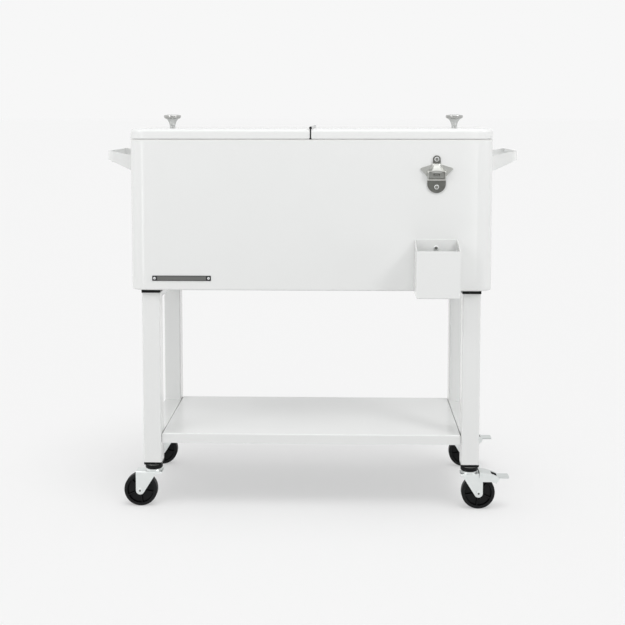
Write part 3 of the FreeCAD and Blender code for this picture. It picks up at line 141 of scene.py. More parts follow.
# Painted shade: near black on the inner faces of the pressed brake lever and down in the crosses of screws and the
# eyes of rivets, where shade falls
paintedShadeSteel = {"colour": "161615", "colourB": "20201E", "grainMm": 1.2, "bump": 0.3,
                "cloudMm": 9, "rough": 0.6, "roughSpread": 0.1, "specular": 0.15}
# Bright zinc plate on pressed steel: pale, cool and slightly cloudy
zincPlate = {"colour": "F0F3F2", "colourB": "E4E8E7", "grainMm": 1.5, "bump": 0.12,
             "cloudMm": 14, "rough": 0.46, "roughSpread": 0.08}
# Plated steel of the screws, bolts and pins: greyer and smoother than the pressings
platedSteel = {"colour": "C4C5C4", "colourB": "B4B5B4", "grainMm": 0.8, "bump": 0.1,
               "cloudMm": 8, "rough": 0.32, "roughSpread": 0.05}
# Satin nickel of the turned knobs, bright on the stem
satinNickel = {"colour": "D6D7D6", "colourB": "CACBCA", "grainMm": 0.5, "bump": 0.08,
               "cloudMm": 12, "rough": 0.24, "roughSpread": 0.04}
# Painted reflection: the knob's rim painted darker, for the room it mirrors
rimReflectionNickel = {"colour": "BEBEBC", "colourB": "B0B0AE", "grainMm": 0.5, "bump": 0.05,
             "cloudMm": 12, "rough": 0.2, "roughSpread": 0.04}
# Die-cast zinc with nickel plate, the opener's satin wings
castNickel = {"colour": "BEBFBB", "colourB": "B0B1AD", "grainMm": 1.1, "bump": 0.08,
              "cloudMm": 9, "rough": 0.34, "roughSpread": 0.06}
# Painted highlight: the lip of the hood painted nearly white, so it is only half metallic below
lipHighlightNickel = {"colour": "EFEFEB", "colourB": "E4E4E0", "grainMm": 1.1, "bump": 0.05,
                "cloudMm": 9, "rough": 0.42, "roughSpread": 0.05}
# Painted highlight: the ridge below the mouth painted lighter, where it catches the light from above
ridgeHighlightNickel = {"colour": "CFCFCB", "colourB": "C2C2BE", "grainMm": 1.1, "bump": 0.05,
              "cloudMm": 9, "rough": 0.38, "roughSpread": 0.05}
# Painted shade in the inside of the mouth and the crosses of the bright screws, and a painted highlight as a
# lighter ring on the swivel caps
shadeAndGlintNickel = {"colour": "9A9B97", "colourB": "898A86", "grainMm": 1.1, "bump": 0.1,
               "cloudMm": 7, "rough": 0.36, "roughSpread": 0.06}
# Painted dark: the ear and the face below the mouth as a painted reflection of the dim room and painted shade
# under the screw, and the dimples in the axle ends as painted shade
shadeAndDarkReflectionNickel = {"colour": "787975", "colourB": "676864", "grainMm": 1.1, "bump": 0.1,
              "cloudMm": 9, "rough": 0.38, "roughSpread": 0.06}
# Painted reflection: the slope of the hood painted a little lighter, for the light from above that it throws
# straight back
hoodReflectionNickel = {"colour": "C4C5C1", "colourB": "B8B9B5", "grainMm": 1.1, "bump": 0.06,
              "cloudMm": 6, "rough": 0.36, "roughSpread": 0.06}
# Bright plate on the screws of the opener and the catcher and on the rivets of the plate
chromePlate = {"colour": "F4F5F5", "colourB": "ECEDED", "grainMm": 0.5, "bump": 0.05,
               "cloudMm": 5, "rough": 0.58, "roughSpread": 0.03}
# The brake lever's zinc on its pedal and its upward faces, a little greyer than the fork's
leverZinc = {"colour": "DCDFDE", "colourB": "CFD3D2", "grainMm": 1.5, "bump": 0.12,
             "cloudMm": 12, "rough": 0.42, "roughSpread": 0.08}
# Brushed graphite anodised plate, left blank, with a darker border
graphitePlate = {"colour": "70716E", "colourB": "5D5E5B", "grainMm": 0.6, "bump": 0.2,
                 "cloudMm": 3, "rough": 0.42, "roughSpread": 0.06, "stretch": (0.05, 1.0, 1.0)}
plateBorder = {"colour": "1F2021", "ends": 11.0, "margin": 1.3}
# Cut edge of rigid polyurethane foam: pale yellow, matt and open-pored
foamYellow = {"colour": "E7DFC6", "colourB": "D9CFB0", "grainMm": 1.5, "bump": 0.6,
              "cloudMm": 30, "rough": 0.9, "roughSpread": 0.05}


def makeFinish(name, look, metallic=0.0, coat=0.0, coatRough=0.1):
    material, tree, shader = startMaterial(name)
    wearAndGrain(tree, shader, look)
    shader.inputs["Metallic"].default_value = metallic
    shader.inputs["Coat Weight"].default_value = coat
    shader.inputs["Coat Roughness"].default_value = coatRough
    if "specular" in look:
        shader.inputs["Specular IOR Level"].default_value = look["specular"]
    return material


finishes = {
    "white_powder_coat": makeFinish("powderCoatWhite", whitePowder, coat=0.8, coatRough=0.08),
    "white_plastic": makeFinish("polypropyleneWhite", whiteMoulding),
    "foam": makeFinish("polyurethaneFoam", foamYellow),
    "black_plastic": makeFinish("nylonBlack", blackMoulding),
    "steel": makeFinish("platedSteel", platedSteel, metallic=1.0),
    "knob_metal": makeFinish("satinNickel", satinNickel, metallic=1.0),
    "opener_metal": makeFinish("castNickel", castNickel, metallic=1.0),
    "dark_plate": makeFinish("brushedGraphitePlate", graphitePlate),
    "zinc_plate": makeFinish("brightZinc", zincPlate, metallic=1.0),
    "black_wheel": makeFinish("mouldedWheel", blackTread),
}
zoneFinishes = {
    "pocket": makeFinish("pocketPaintedShade", pocketPaintedShade),
    "recessShade": makeFinish("paintedShadeSteel", paintedShadeSteel),
    "lipHighlight": makeFinish("lipHighlightNickel", lipHighlightNickel, metallic=0.5),
    "paintedDark": makeFinish("shadeAndDarkReflectionNickel", shadeAndDarkReflectionNickel, metallic=1.0),
    "rim": makeFinish("rimReflectionNickel", rimReflectionNickel, metallic=1.0),
    "hood": makeFinish("hoodReflectionNickel", hoodReflectionNickel, metallic=1.0),
    "edge": makeFinish("ridgeHighlightNickel", ridgeHighlightNickel, metallic=1.0),
    "mouth": makeFinish("shadeAndGlintNickel", shadeAndGlintNickel, metallic=1.0),
    "chrome": makeFinish("chromePlate", chromePlate, metallic=1.0),
    "lever": makeFinish("leverZinc", leverZinc, metallic=1.0),
}


def addBorder(material, low, high, look):
    # Darkens a margin inside the box's edges, seen along Y
    tree = material.node_tree
    base = tree.nodes["Principled BSDF"].inputs["Base Color"]
    coords = addNode(tree, "ShaderNodeTexCoord").outputs["Object"]
    spot = addNode(tree, "ShaderNodeSeparateXYZ", None, {0: coords})
    over = []
    for axis, letter, wide in ((0, "X", look["ends"]), (2, "Z", look["margin"])):
        middle = (low[axis] + high[axis]) / 2
        edge = (high[axis] - low[axis]) / 2 - wide * mm
        fromMiddle = addNode(
            tree, "ShaderNodeMath", {"operation": "SUBTRACT", 1: middle}, {0: spot.outputs[letter]},
        )
        away = addNode(tree, "ShaderNodeMath", {"operation": "ABSOLUTE"}, {0: fromMiddle.outputs[0]})
        over.append(addNode(
            tree, "ShaderNodeMath", {"operation": "GREATER_THAN", 1: edge}, {0: away.outputs[0]},
        ))
    either = addNode(
        tree, "ShaderNodeMath", {"operation": "MAXIMUM"}, {0: over[0].outputs[0], 1: over[1].outputs[0]},
    )
    border = addNode(tree, "ShaderNodeMix", {"data_type": "RGBA"}, {"Factor": either.outputs[0]})
    tree.links.new(base.links[0].from_socket, border.inputs["A"])
    border.inputs["B"].default_value = srgb(look["colour"])
    tree.links.new(border.outputs["Result"], base)


addBorder(finishes["dark_plate"], *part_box("name_plate"), plateBorder)

for entry in frame["record"]["subparts"]:
    node = nodes[entry["node"]]
    node.data.materials.clear()
    node.data.materials.append(finishes[entry["material_slot"]])
print("materials on", len(nodes), "nodes")


# Pieces that soften, detail or stand for CAD nodes

bodyOf = {}
for bodyName, members in frame["record"]["behaviour"]["bodies"].items():
    for member in members:
        bodyOf[member] = bodyName
slotOf = {entry["node"]: entry["material_slot"] for entry in frame["record"]["subparts"]}


def pickAlone(piece):
    bpy.ops.object.select_all(action="DESELECT")
    piece.select_set(True)
    bpy.context.view_layer.objects.active = piece


def pickFaces(piece, test):
    # In edit mode, selects the faces whose centre and normal pass the test
    mesh = bmesh.from_edit_mesh(piece.data)
    for face in mesh.faces:
        face.select_set(False)
    for face in mesh.faces:
        if test(face.calc_center_median(), face.normal):
            face.select_set(True)
    bmesh.update_edit_mesh(piece.data)


def applyModifier(piece, kind, settings):
    pickAlone(piece)
    modifier = piece.modifiers.new(kind.lower(), kind)
    for name, value in settings.items():
        setattr(modifier, name, value)
    bpy.ops.object.modifier_apply(modifier=modifier.name)


# How a copy is cleaned and softened: millimetres and degrees
softening = {"merge": 0.01, "flatAngle": 0.4, "bevelSegments": 3, "bevelAngle": 38.0, "smoothAngle": 40.0,
             "screwAngle": 45.0}


def copyOfNode(node, name):
    # A CAD node's loose triangles, joined and cleaned into whole faces
    piece = bpy.data.objects.new(name, nodes[node].data.copy())
    bpy.context.scene.collection.objects.link(piece)
    pickAlone(piece)
    bpy.ops.object.mode_set(mode="EDIT")
    bpy.ops.mesh.select_all(action="SELECT")
    bpy.ops.mesh.remove_doubles(threshold=softening["merge"] * mm)
    bpy.ops.mesh.dissolve_limited(angle_limit=math.radians(softening["flatAngle"]))
    bpy.ops.object.mode_set(mode="OBJECT")
    return piece


def standFor(piece, node):
    # The piece takes the node's place, body and finish
    if not piece.data.materials:
        piece.data.materials.append(finishes[slotOf[node]])
    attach(piece, bodyOf[node])
    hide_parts(node)


def cutAcross(piece, height):
    # A level cut all round, so that a finish can end there
    pickAlone(piece)
    bpy.ops.object.mode_set(mode="EDIT")
    bpy.ops.mesh.select_all(action="SELECT")
    bpy.ops.mesh.bisect(plane_co=(0, 0, height), plane_no=(0, 0, 1))
    bpy.ops.object.mode_set(mode="OBJECT")


def finishFaces(piece, finish, test):
    # Gives another finish to the faces whose centre, in millimetres, and normal pass the test
    piece.data.materials.append(finish)
    for face in piece.data.polygons:
        if test(face.center / mm, face.normal):
            face.material_index = len(piece.data.materials) - 1


def softPiece(node, name, width):
    # A copy of a CAD node with the small round edges that the press, die or grinder leaves
    piece = copyOfNode(node, name)
    applyModifier(piece, "BEVEL", {
        "width": width * mm,
        "segments": softening["bevelSegments"],
        "limit_method": "ANGLE",
        "angle_limit": math.radians(softening["bevelAngle"]),
        "use_clamp_overlap": True,
    })
    standFor(piece, node)
    return piece


def smoothPiece(piece):
    # Weighted normals keep the broad faces flat beside their rounded edges
    pickAlone(piece)
    bpy.ops.object.shade_smooth_by_angle(angle=math.radians(softening["smoothAngle"]))
    applyModifier(piece, "WEIGHTED_NORMAL", {"weight": 100, "keep_sharp": True})


# Plain softened copies, with each edge's round in millimetres. The swivel caps get a lighter metal ring
# between two heights, a painted highlight on their rounded top edge
softEdges = {
    "left_handle": {"piece": "leftHandleStrip", "round": 0.9},
    "right_handle": {"piece": "rightHandleStrip", "round": 0.9},
    "cap_catcher": {"piece": "catcherBox", "round": 0.35},
    "front_left_fork": {"piece": "frontLeftForkPressing", "round": 0.5},
    "front_right_fork": {"piece": "frontRightForkPressing", "round": 0.5},
    "rear_left_fork": {"piece": "rearLeftForkPressing", "round": 0.5},
    "rear_right_fork": {"piece": "rearRightForkPressing", "round": 0.5},
    "swivel_caps": {"piece": "swivelDishes", "round": 1.8, "ringLow": 97.0, "ringHigh": 98.3,
                    "level": 0.98},
    "name_plate": {"piece": "blankNamePlate", "round": 0.3},
    "leg_foot_plugs": {"piece": "footPlugs", "round": 0.5},
}

for node, look in softEdges.items():
    piece = softPiece(node, look["piece"], look["round"])
    if "ringLow" in look:
        finishFaces(piece, zoneFinishes["mouth"], lambda centre, normal: (
            look["ringLow"] < centre.z < look["ringHigh"] and abs(normal.z) < look["level"]))
    smoothPiece(piece)

# Bottle opener: its zones by their drop below its top, in millimetres. Hood, lip and ridge
# stand proud of the face, and the zone of the mouth reaches a little behind it
openerLook = {"round": 0.8, "hoodTop": 17.7, "lipTop": 33.5, "lipLow": 38.0, "ridgeTop": 49.4, "ridgeLow": 54.6,
              "face": -158.6, "mouthHalf": 17.0, "proud": 0.3, "sunk": 0.2}
opener = softPiece("bottle_opener", "openerCasting", openerLook["round"])
openerLow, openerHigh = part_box("bottle_opener")
openerTop = openerHigh[2] / mm
openerMiddle = (openerLow[0] + openerHigh[0]) / 2 / mm
for drop in (openerLook["hoodTop"], openerLook["lipTop"], openerLook["ridgeLow"]):
    cutAcross(opener, (openerTop - drop) * mm)


def inBand(centre, top, low, proud):
    # On the front of the opener, between two drops
    drop = openerTop - centre.z
    return centre.y < openerLook["face"] - proud and openerLook[top] < drop < openerLook[low]


# The zones are painted light and shade: highlights and reflection on hood, lip and ridge, shade in the mouth, dark
# reflection and shade on the ear and lower face
finishFaces(opener, zoneFinishes["paintedDark"], lambda centre, normal: (
    openerTop - centre.z < openerLook["hoodTop"] or openerTop - centre.z > openerLook["ridgeLow"]))
finishFaces(opener, zoneFinishes["mouth"], lambda centre, normal: (
    abs(centre.x - openerMiddle) < openerLook["mouthHalf"]
    and inBand(centre, "lipLow", "ridgeTop", -openerLook["sunk"])))
openerBands = {"hood": ("hoodTop", "lipTop"), "lipHighlight": ("lipTop", "lipLow"), "edge": ("ridgeTop", "ridgeLow")}
for finish, (top, low) in openerBands.items():
    finishFaces(opener, zoneFinishes[finish], lambda centre, normal: inBand(centre, top, low, openerLook["proud"]))
smoothPiece(opener)

# Knobs: the rim of the head is painted darker as a painted reflection of the darker room, the stem stays bright
knobLook = {"rimLow": 9.6, "rimTop": 2.0}
for side in ("left", "right"):
    node = side + "_lid_knob"
    knob = copyOfNode(node, side + "TurnedKnob")
    standFor(knob, node)
    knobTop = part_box(node)[1][2] / mm
    finishFaces(knob, zoneFinishes["rim"], lambda centre, normal: (
        knobLook["rimTop"] < knobTop - centre.z < knobLook["rimLow"]))
    smoothPiece(knob)

# Wheels: the walls of the pockets and a line along their foot are painted black as painted shade
wheelLook = {"round": 0.35, "pocketDepth": 7.0, "pocketLine": 1.3, "rimRadius": 29.5, "hubRadius": 11.0,
             "floorSlack": 0.2, "lineSlack": 0.3, "hubSlack": 0.5, "rimSlack": 0.3}
axleLook = {"round": 0.6, "dimple": 2.6, "dimpleDepth": 0.9, "endSlack": 0.1}
# Levers: half widths of the inside and of the slot, and how far from the leg the pedal starts
leverLook = {"round": 0.6, "inner": 16.4, "pedalStart": 63.0, "slotHalf": 9.3}
# How nearly a face looks along an axis
facingAxis = {"full": 0.99, "nearly": 0.9, "most": 0.6, "half": 0.5, "little": 0.3}


def markPockets(wheel, middle, centreX, axleZ):
    # The inset leaves the line unselected round each pocket's floor
    pickAlone(wheel)
    bpy.ops.object.mode_set(mode="EDIT")
    bpy.ops.mesh.select_mode(type="FACE")
    pickFaces(wheel, lambda centre, normal: (
        abs(normal.y) > facingAxis["full"]
        and abs(abs(centre.y - middle) - wheelLook["pocketDepth"] * mm) < wheelLook["floorSlack"] * mm))
    bpy.ops.mesh.inset(thickness=wheelLook["pocketLine"] * mm)
    bpy.ops.object.mode_set(mode="OBJECT")
    # Painted shade on the pocket walls and on the line round each pocket's floor
    wheel.data.materials.append(zoneFinishes["pocket"])
    inner = wheelLook["hubRadius"] + wheelLook["hubSlack"]
    outer = wheelLook["rimRadius"] + wheelLook["rimSlack"]
    for face in wheel.data.polygons:
        away = abs(face.center.y - middle) / mm
        radius = math.hypot(face.center.x - centreX, face.center.z - axleZ) / mm
        onLine = abs(away - wheelLook["pocketDepth"]) < wheelLook["lineSlack"] and not face.select
        onWall = away > wheelLook["pocketDepth"] and abs(face.normal.y) < facingAxis["little"]
        if inner < radius < outer and (onLine or onWall):
            face.material_index = 1


def dimpleEnds(axle, reach, middle):
    # A punched dimple in both ends, painted dark as painted shade
    pickAlone(axle)
    bpy.ops.object.mode_set(mode="EDIT")
    bpy.ops.mesh.select_mode(type="FACE")
    pickFaces(axle, lambda centre, normal: (
        abs(normal.y) > facingAxis["full"] and abs(centre.y - middle) > reach - axleLook["endSlack"] * mm))
    bpy.ops.mesh.inset(thickness=axleLook["dimple"] * mm, depth=-axleLook["dimpleDepth"] * mm)
    bpy.ops.object.mode_set(mode="OBJECT")
    axle.data.materials.append(zoneFinishes["paintedDark"])
    for face in axle.data.polygons:
        if face.select:
            face.material_index = 1


for corner in ("front_left", "front_right", "rear_left", "rear_right"):
    name = corner.split("_")[0] + corner.split("_")[1].title()
    low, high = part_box(corner + "_wheel")
    middle = (low[1] + high[1]) / 2
    wheel = softPiece(corner + "_wheel", name + "MouldedWheel", wheelLook["round"])
    markPockets(wheel, middle, (low[0] + high[0]) / 2, (low[2] + high[2]) / 2)
    smoothPiece(wheel)
    low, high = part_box(corner + "_axle")
    axle = softPiece(corner + "_axle", name + "PeenedAxle", axleLook["round"])
    dimpleEnds(axle, (high[1] - low[1]) / 2, middle)
    smoothPiece(axle)

for corner in ("front_right", "rear_right"):
    name = corner.split("_")[0] + "RightLeverPressing"
    low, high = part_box(corner + "_brake_lever")
    legLow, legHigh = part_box(corner + "_leg")
    legX = (legLow[0] + legHigh[0]) / 2 / mm
    middle = (low[1] + high[1]) / 2 / mm
    lever = softPiece(corner + "_brake_lever", name, leverLook["round"])
    finishFaces(lever, zoneFinishes["lever"], lambda centre, normal: (
        centre.x > legX + leverLook["pedalStart"] or normal.z > facingAxis["half"]))
    # Painted shade on the lever's inner faces and in its slot
    finishFaces(lever, zoneFinishes["recessShade"], lambda centre, normal: (
        centre.x < legX + leverLook["pedalStart"]
        and abs(centre.y - middle) < leverLook["inner"]
        and (normal.z < -facingAxis["little"]
             or normal.y * (centre.y - middle) < -facingAxis["little"]
             or (abs(centre.y - middle) < leverLook["slotHalf"] and abs(normal.x) > facingAxis["most"]))))
    smoothPiece(lever)
print("softened pieces and their zones in place")


# Cross-head screws and domed rivets. Shares are of the head's radius or height, the slack is
# in millimetres and the cross is turned by some degrees
screwLook = {"sides": 28, "domeShare": 0.62, "domeSteps": 5, "domeProfile": 0.5, "crossLengthShare": 0.56,
             "crossWidthShare": 0.12, "crossDepthShare": 0.7, "crossTurn": 12, "eyeRingShare": 0.5,
             "eyeShare": 0.3, "slack": 0.01, "topShare": 0.99}


def makeScrew(name, headRadius, headHeight, shankRadius, shankLength, look, finish, cross=True):
    # Stands on its seat at the origin, head up, with a cross or a rivet's eye in it that is painted darker as
    # painted shade
    bpy.ops.object.select_all(action="DESELECT")
    bpy.ops.mesh.primitive_cylinder_add(
        vertices=look["sides"], radius=headRadius, depth=headHeight, location=(0, 0, headHeight / 2),
    )
    screw = bpy.context.object
    screw.name = name
    bpy.ops.object.transform_apply(location=True, rotation=True, scale=True)
    bpy.ops.object.mode_set(mode="EDIT")
    bpy.ops.mesh.select_mode(type="FACE")
    pickFaces(screw, lambda centre, normal: normal.z > facingAxis["nearly"])
    bpy.ops.mesh.bevel(
        offset=headHeight * look["domeShare"], segments=look["domeSteps"], profile=look["domeProfile"],
        affect="EDGES",
    )
    if not cross:
        pickFaces(screw, lambda centre, normal: (
            normal.z > facingAxis["nearly"] and centre.z > headHeight * look["topShare"]))
        bpy.ops.mesh.inset(thickness=headRadius * look["eyeRingShare"])
        sink = (0, 0, -headHeight * look["crossDepthShare"])
        bpy.ops.mesh.extrude_region_move(TRANSFORM_OT_translate={"value": sink})
    pickFaces(screw, lambda centre, normal: normal.z < -facingAxis["nearly"])
    bpy.ops.mesh.inset(thickness=headRadius - shankRadius)
    bpy.ops.mesh.extrude_region_move(TRANSFORM_OT_translate={"value": (0, 0, -shankLength)})
    bpy.ops.object.mode_set(mode="OBJECT")
    if cross:
        for turn in (look["crossTurn"], look["crossTurn"] + 90):
            bpy.ops.object.select_all(action="DESELECT")
            bpy.ops.mesh.primitive_cube_add(size=1, location=(0, 0, 0))
            cutter = bpy.context.object
            cutter.scale = (
                2 * headRadius * look["crossLengthShare"],
                2 * headRadius * look["crossWidthShare"],
                headHeight * look["crossDepthShare"] * 2,
            )
            cutter.rotation_euler = (0, 0, math.radians(turn))
            cutter.location = (0, 0, headHeight)
            bpy.ops.object.transform_apply(location=True, rotation=True, scale=True)
            applyModifier(screw, "BOOLEAN", {"operation": "DIFFERENCE", "object": cutter, "solver": "EXACT"})
            bpy.data.objects.remove(cutter, do_unlink=True)
    # The cross or eye is painted shade: grey in the bright screws, near black in the others
    brightCross = cross and finish is zoneFinishes["chrome"]
    screw.data.materials.append(finish)
    screw.data.materials.append(zoneFinishes["mouth" if brightCross else "recessShade"])
    slack = look["slack"] * mm
    longHalf = headRadius * look["crossLengthShare"] + slack
    wideHalf = headRadius * look["crossWidthShare"] + slack
    foot = headHeight * (1 - look["crossDepthShare"]) - slack
    for face in screw.data.polygons:
        for turn in (look["crossTurn"], look["crossTurn"] + 90):
            spot = Matrix.Rotation(-math.radians(turn), 3, "Z") @ face.center
            inCross = cross and abs(spot.x) < longHalf and abs(spot.y) < wideHalf
            inEye = not cross and math.hypot(spot.x, spot.y) < headRadius * look["eyeShare"]
            if face.center.z > foot and (inCross or inEye):
                face.material_index = 1
    pickAlone(screw)
    bpy.ops.object.shade_smooth_by_angle(angle=math.radians(softening["screwAngle"]))
    return screw


def facing(direction):
    # Turns +Z to the direction that a head looks
    return Vector((0, 0, 1)).rotation_difference(Vector(direction)).to_matrix().to_4x4()


def placeCopies(master, name, places):
    # One mesh with a copy of the master at each place, and the master is removed
    copies = []
    for at, direction in places:
        copy = bpy.data.objects.new(name, master.data.copy())
        copy.data.transform(Matrix.Translation(at) @ facing(direction))
        bpy.context.scene.collection.objects.link(copy)
        copies.append(copy)
    bpy.data.objects.remove(master, do_unlink=True)
    bpy.ops.object.select_all(action="DESELECT")
    for copy in copies:
        copy.select_set(True)
    bpy.context.view_layer.objects.active = copies[0]
    if len(copies) > 1:
        bpy.ops.object.join()
    copies[0].name = name
    return copies[0]


# Screws and rivets on the front, in millimetres, all brightly plated. nodeRadius is the CAD
# head's, which the photograph shows a little larger
frontScrews = {
    "opener_screws": {"piece": "openerCrossScrews", "headRadius": 5.2, "headHeight": 2.2, "shankRadius": 2.2,
                      "shankLength": 13.0, "cross": True, "nodeRadius": 4.2},
    "catcher_screw": {"piece": "catcherCrossScrew", "headRadius": 5.0, "headHeight": 2.4, "shankRadius": 2.5,
                      "shankLength": 12.0, "cross": True},
    "name_plate_rivets": {"piece": "plateDomedRivets", "headRadius": 2.8, "headHeight": 1.0, "shankRadius": 1.6,
                          "shankLength": 5.0, "cross": False, "nodeRadius": 2.2},
}

for node, look in frontScrews.items():
    low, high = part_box(node)
    head = look["headRadius"] * mm
    seat = low[1] + look["headHeight"] * mm
    inset = look.get("nodeRadius", look["headRadius"]) * mm
    spots = {(low[0] + inset, low[2] + inset), (high[0] - inset, high[2] - inset)}
    # A node with a single screw is narrower than three radii both ways
    if high[0] - low[0] < 3 * head and high[2] - low[2] < 3 * head:
        spots = {((low[0] + high[0]) / 2, (low[2] + high[2]) / 2)}
    screw = makeScrew(
        "screwMaster", head, look["headHeight"] * mm, look["shankRadius"] * mm, look["shankLength"] * mm,
        screwLook, zoneFinishes["chrome"], look["cross"],
    )
    places = [((x, seat, z), (0, -1, 0)) for x, z in sorted(spots)]
    standFor(placeCopies(screw, look["piece"], places), node)

sideScrews = {"piece": "handleCrossScrews", "headRadius": 4.5, "headHeight": 2.6, "shankRadius": 2.5,
              "shankLength": 9.0}
low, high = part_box("handle_screws")
head = sideScrews["headRadius"] * mm
screw = makeScrew(
    "screwMaster", head, sideScrews["headHeight"] * mm, sideScrews["shankRadius"] * mm,
    sideScrews["shankLength"] * mm, screwLook, finishes["steel"],
)
places = []
for side, edge in ((-1, low[0]), (1, high[0])):
    seat = edge - side * sideScrews["headHeight"] * mm
    for y in (low[1] + head, high[1] - head):
        for z in (low[2] + head, high[2] - head):
            places.append(((seat, y, z), (side, 0, 0)))
standFor(placeCopies(screw, sideScrews["piece"], places), "handle_screws")
print("screws and rivets in place")


# Camera, as the photograph was taken

photoSize = 625
cameraView = {
    "focalPixels": 1137.5,
    "principalRow": 205.9,
    "place": Vector((0.0748, -2.6359, 0.8837)),
    "yaw": 1.624,
    "pitch": 4.581,
    "roll": 0.014,
    "sensor": 36.0,
    "farClip": 200.0,
}


def placeCamera(view):
    data = bpy.data.cameras.new("photoCamera")
    data.sensor_width = view["sensor"]
    data.lens = view["sensor"] * view["focalPixels"] / photoSize
    data.shift_y = (view["principalRow"] - photoSize / 2) / photoSize
    data.clip_end = view["farClip"]
    camera = bpy.data.objects.new("photoCamera", data)
    camera.rotation_euler = (
        math.radians(90 - view["pitch"]),
        math.radians(view["roll"]),
        math.radians(view["yaw"]),
    )
    camera.location = view["place"]
    bpy.context.scene.collection.objects.link(camera)
    bpy.context.scene.camera = camera


placeCamera(cameraView)


# Floor, background and light

keyShape = {"width": 0.8, "tall": 0.8, "rise": 2.4, "range": 2.5, "tilt": 36.0}
fillShape = {"width": 1.2, "tall": 1.4, "rise": 0.6, "range": 3.0, "mirrored": False}

studio = {
    "background": "F7F7F7",
    "floor": "FFFFFF",
    "floorBounce": "D0D0D0",  # the floor as the cart sees it
    "floorGlow": 0.45,  # share of the floor's own paper white that the camera sees through the shadow
    "skyStrength": 0.55,
    "cameraSide": 0.50,  # how bright the unlit room behind the camera looks in shiny metal
    "roomFrom": -0.45,  # where that room begins, as a direction's share along Y
    "roomTo": -0.9,  # where it is as dim as it gets
    "floorSize": 400.0,
    "lamps": {
        "topLamp": {"strength": 0.45, "angle": 50.0, "height": 80.0, "side": 10.0},
        "floorLamp": {"strength": 0.72, "angle": 32.0, "height": 71.0, "side": 25.0, "floorOnly": True},
    },
    # Tall narrow panels whose reflections run down the rounded corners, a key and a fill on
    # each side, and a softbox above
    "panels": {
        "leftPanel": {"power": 7.5, "width": 0.25, "tall": 2.3, "rise": 1.25, "range": 3.0, "side": -33.0},
        "rightPanel": {"power": 1.8, "width": 0.10, "tall": 2.3, "rise": 1.25, "range": 3.0, "side": 13.9},
        "leftKey": {"power": 12.0, "side": -52.0, **keyShape},
        "rightKey": {"power": 21.5, "side": 50.0, **keyShape},
        "leftFill": {"power": 13.0, "side": -74.0, **fillShape},
        "rightFill": {"power": 9.0, "side": 72.0, **fillShape},
        "highSoftbox": {"power": 5.0, "width": 1.2, "tall": 1.2, "rise": 2.3, "range": 1.6, "side": 8.0,
                        "tilt": 42.0},
    },
}


def makeWorld(look):
    world = bpy.data.worlds.new("studioWorld")
    bpy.context.scene.world = world
    world.use_nodes = True
    tree = world.node_tree
    tree.nodes.clear()
    path = addNode(tree, "ShaderNodeLightPath")
    light = addNode(tree, "ShaderNodeBackground", {"Color": (1, 1, 1, 1), "Strength": look["skyStrength"]})
    paper = addNode(tree, "ShaderNodeBackground", {"Color": srgb(look["background"]), "Strength": 1.0})
    # Shiny metal sees paper all round, but a dim room towards the camera's side
    direction = addNode(tree, "ShaderNodeTexCoord").outputs["Generated"]
    around = addNode(tree, "ShaderNodeSeparateXYZ", None, {0: direction})
    towardCamera = addNode(
        tree, "ShaderNodeMapRange",
        {"From Min": look["roomFrom"], "From Max": look["roomTo"], "interpolation_type": "SMOOTHSTEP"},
        {"Value": around.outputs["Y"]},
    )
    dim = addNode(
        tree, "ShaderNodeMath", {"operation": "MULTIPLY", 1: look["cameraSide"] - 1}, {0: towardCamera.outputs[0]},
    )
    level = addNode(tree, "ShaderNodeMath", {"operation": "ADD", 1: 1.0}, {0: dim.outputs[0]})
    room = addNode(
        tree, "ShaderNodeBackground", {"Color": srgb(look["background"])}, {"Strength": level.outputs[0]},
    )
    shiny = addNode(
        tree, "ShaderNodeMixShader", None,
        {0: path.outputs["Is Glossy Ray"], 1: light.outputs[0], 2: room.outputs[0]},
    )
    mix = addNode(
        tree, "ShaderNodeMixShader", None,
        {0: path.outputs["Is Camera Ray"], 1: shiny.outputs[0], 2: paper.outputs[0]},
    )
    addNode(tree, "ShaderNodeOutputWorld", None, {"Surface": mix.outputs[0]})


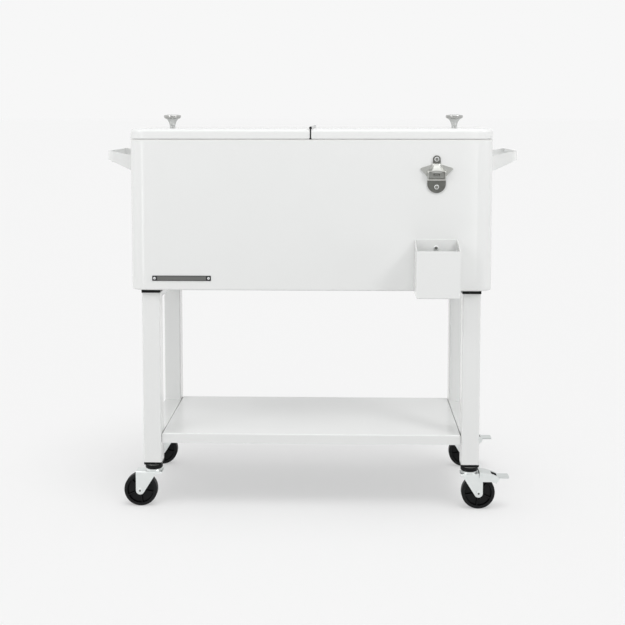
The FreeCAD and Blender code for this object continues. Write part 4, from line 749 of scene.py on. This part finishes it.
def makeFloor(look):
    bpy.ops.mesh.primitive_plane_add(size=look["floorSize"], location=(0, 0, 0))
    floor = bpy.context.object
    floor.name = "studioFloor"
    material, tree, shader = startMaterial("paperFloor")
    shader.inputs["Roughness"].default_value = 0.9
    shader.inputs["Specular IOR Level"].default_value = 0.0
    path = addNode(tree, "ShaderNodeLightPath")
    seen = addNode(
        tree, "ShaderNodeMath", {"operation": "MAXIMUM"},
        {0: path.outputs["Is Camera Ray"], 1: path.outputs["Is Glossy Ray"]},
    )
    paint = addNode(tree, "ShaderNodeMix", {"data_type": "RGBA"}, {"Factor": seen.outputs[0]})
    paint.inputs["A"].default_value = srgb(look["floorBounce"])
    paint.inputs["B"].default_value = srgb(look["floor"])
    tree.links.new(paint.outputs["Result"], shader.inputs["Base Color"])
    share = addNode(
        tree, "ShaderNodeMath", {"operation": "MULTIPLY", 1: look["floorGlow"]}, {0: seen.outputs[0]},
    )
    white = addNode(tree, "ShaderNodeEmission", {"Color": srgb(look["background"]), "Strength": 1.0})
    mix = addNode(
        tree, "ShaderNodeMixShader", None,
        {0: share.outputs[0], 1: shader.outputs[0], 2: white.outputs[0]},
    )
    tree.links.new(mix.outputs[0], tree.nodes["Material Output"].inputs["Surface"])
    floor.data.materials.append(material)
    return floor


def linkFloor(light, floor, state):
    # The light spares the floor, or lights nothing else
    linked = bpy.data.collections.new(light.name + "Floor")
    linked.objects.link(floor)
    light.light_linking.receiver_collection = linked
    linked.collection_objects[0].light_linking.link_state = state


def makeLamp(name, look, floor):
    # A soft sun, so that the floor is as bright far away as under the cart
    data = bpy.data.lights.new(name, "SUN")
    data.energy = look["strength"]
    data.angle = math.radians(look["angle"])
    lamp = bpy.data.objects.new(name, data)
    height = math.radians(look["height"])
    side = math.radians(look["side"])
    away = Vector((
        math.cos(height) * math.sin(side),
        -math.cos(height) * math.cos(side),
        math.sin(height),
    ))
    lamp.rotation_euler = away.to_track_quat("Z", "Y").to_euler()
    bpy.context.scene.collection.objects.link(lamp)
    if look.get("floorOnly"):
        linkFloor(lamp, floor, "INCLUDE")


def makePanel(name, look, floor):
    # A panel that stands on the camera's side and faces the cart, upright or tilted down
    data = bpy.data.lights.new(name, "AREA")
    data.shape = "RECTANGLE"
    data.size = look["width"]
    data.size_y = look["tall"]
    data.energy = look["power"]
    panel = bpy.data.objects.new(name, data)
    side = math.radians(look["side"])
    away = Vector((math.sin(side), -math.cos(side), 0))
    panel.location = away * look["range"] + Vector((0, 0, look["rise"]))
    aim = away + Vector((0, 0, math.tan(math.radians(look.get("tilt", 0)))))
    panel.rotation_euler = aim.to_track_quat("Z", "Y").to_euler()
    bpy.context.scene.collection.objects.link(panel)
    panel.visible_glossy = look.get("mirrored", True)
    linkFloor(panel, floor, "EXCLUDE")


makeWorld(studio)
paperFloor = makeFloor(studio)
for panelName, panelLook in studio["panels"].items():
    makePanel(panelName, panelLook, paperFloor)
for lampName, lampLook in studio["lamps"].items():
    makeLamp(lampName, lampLook, paperFloor)
bpy.context.scene.view_settings.view_transform = "Standard"
print("studio ready")
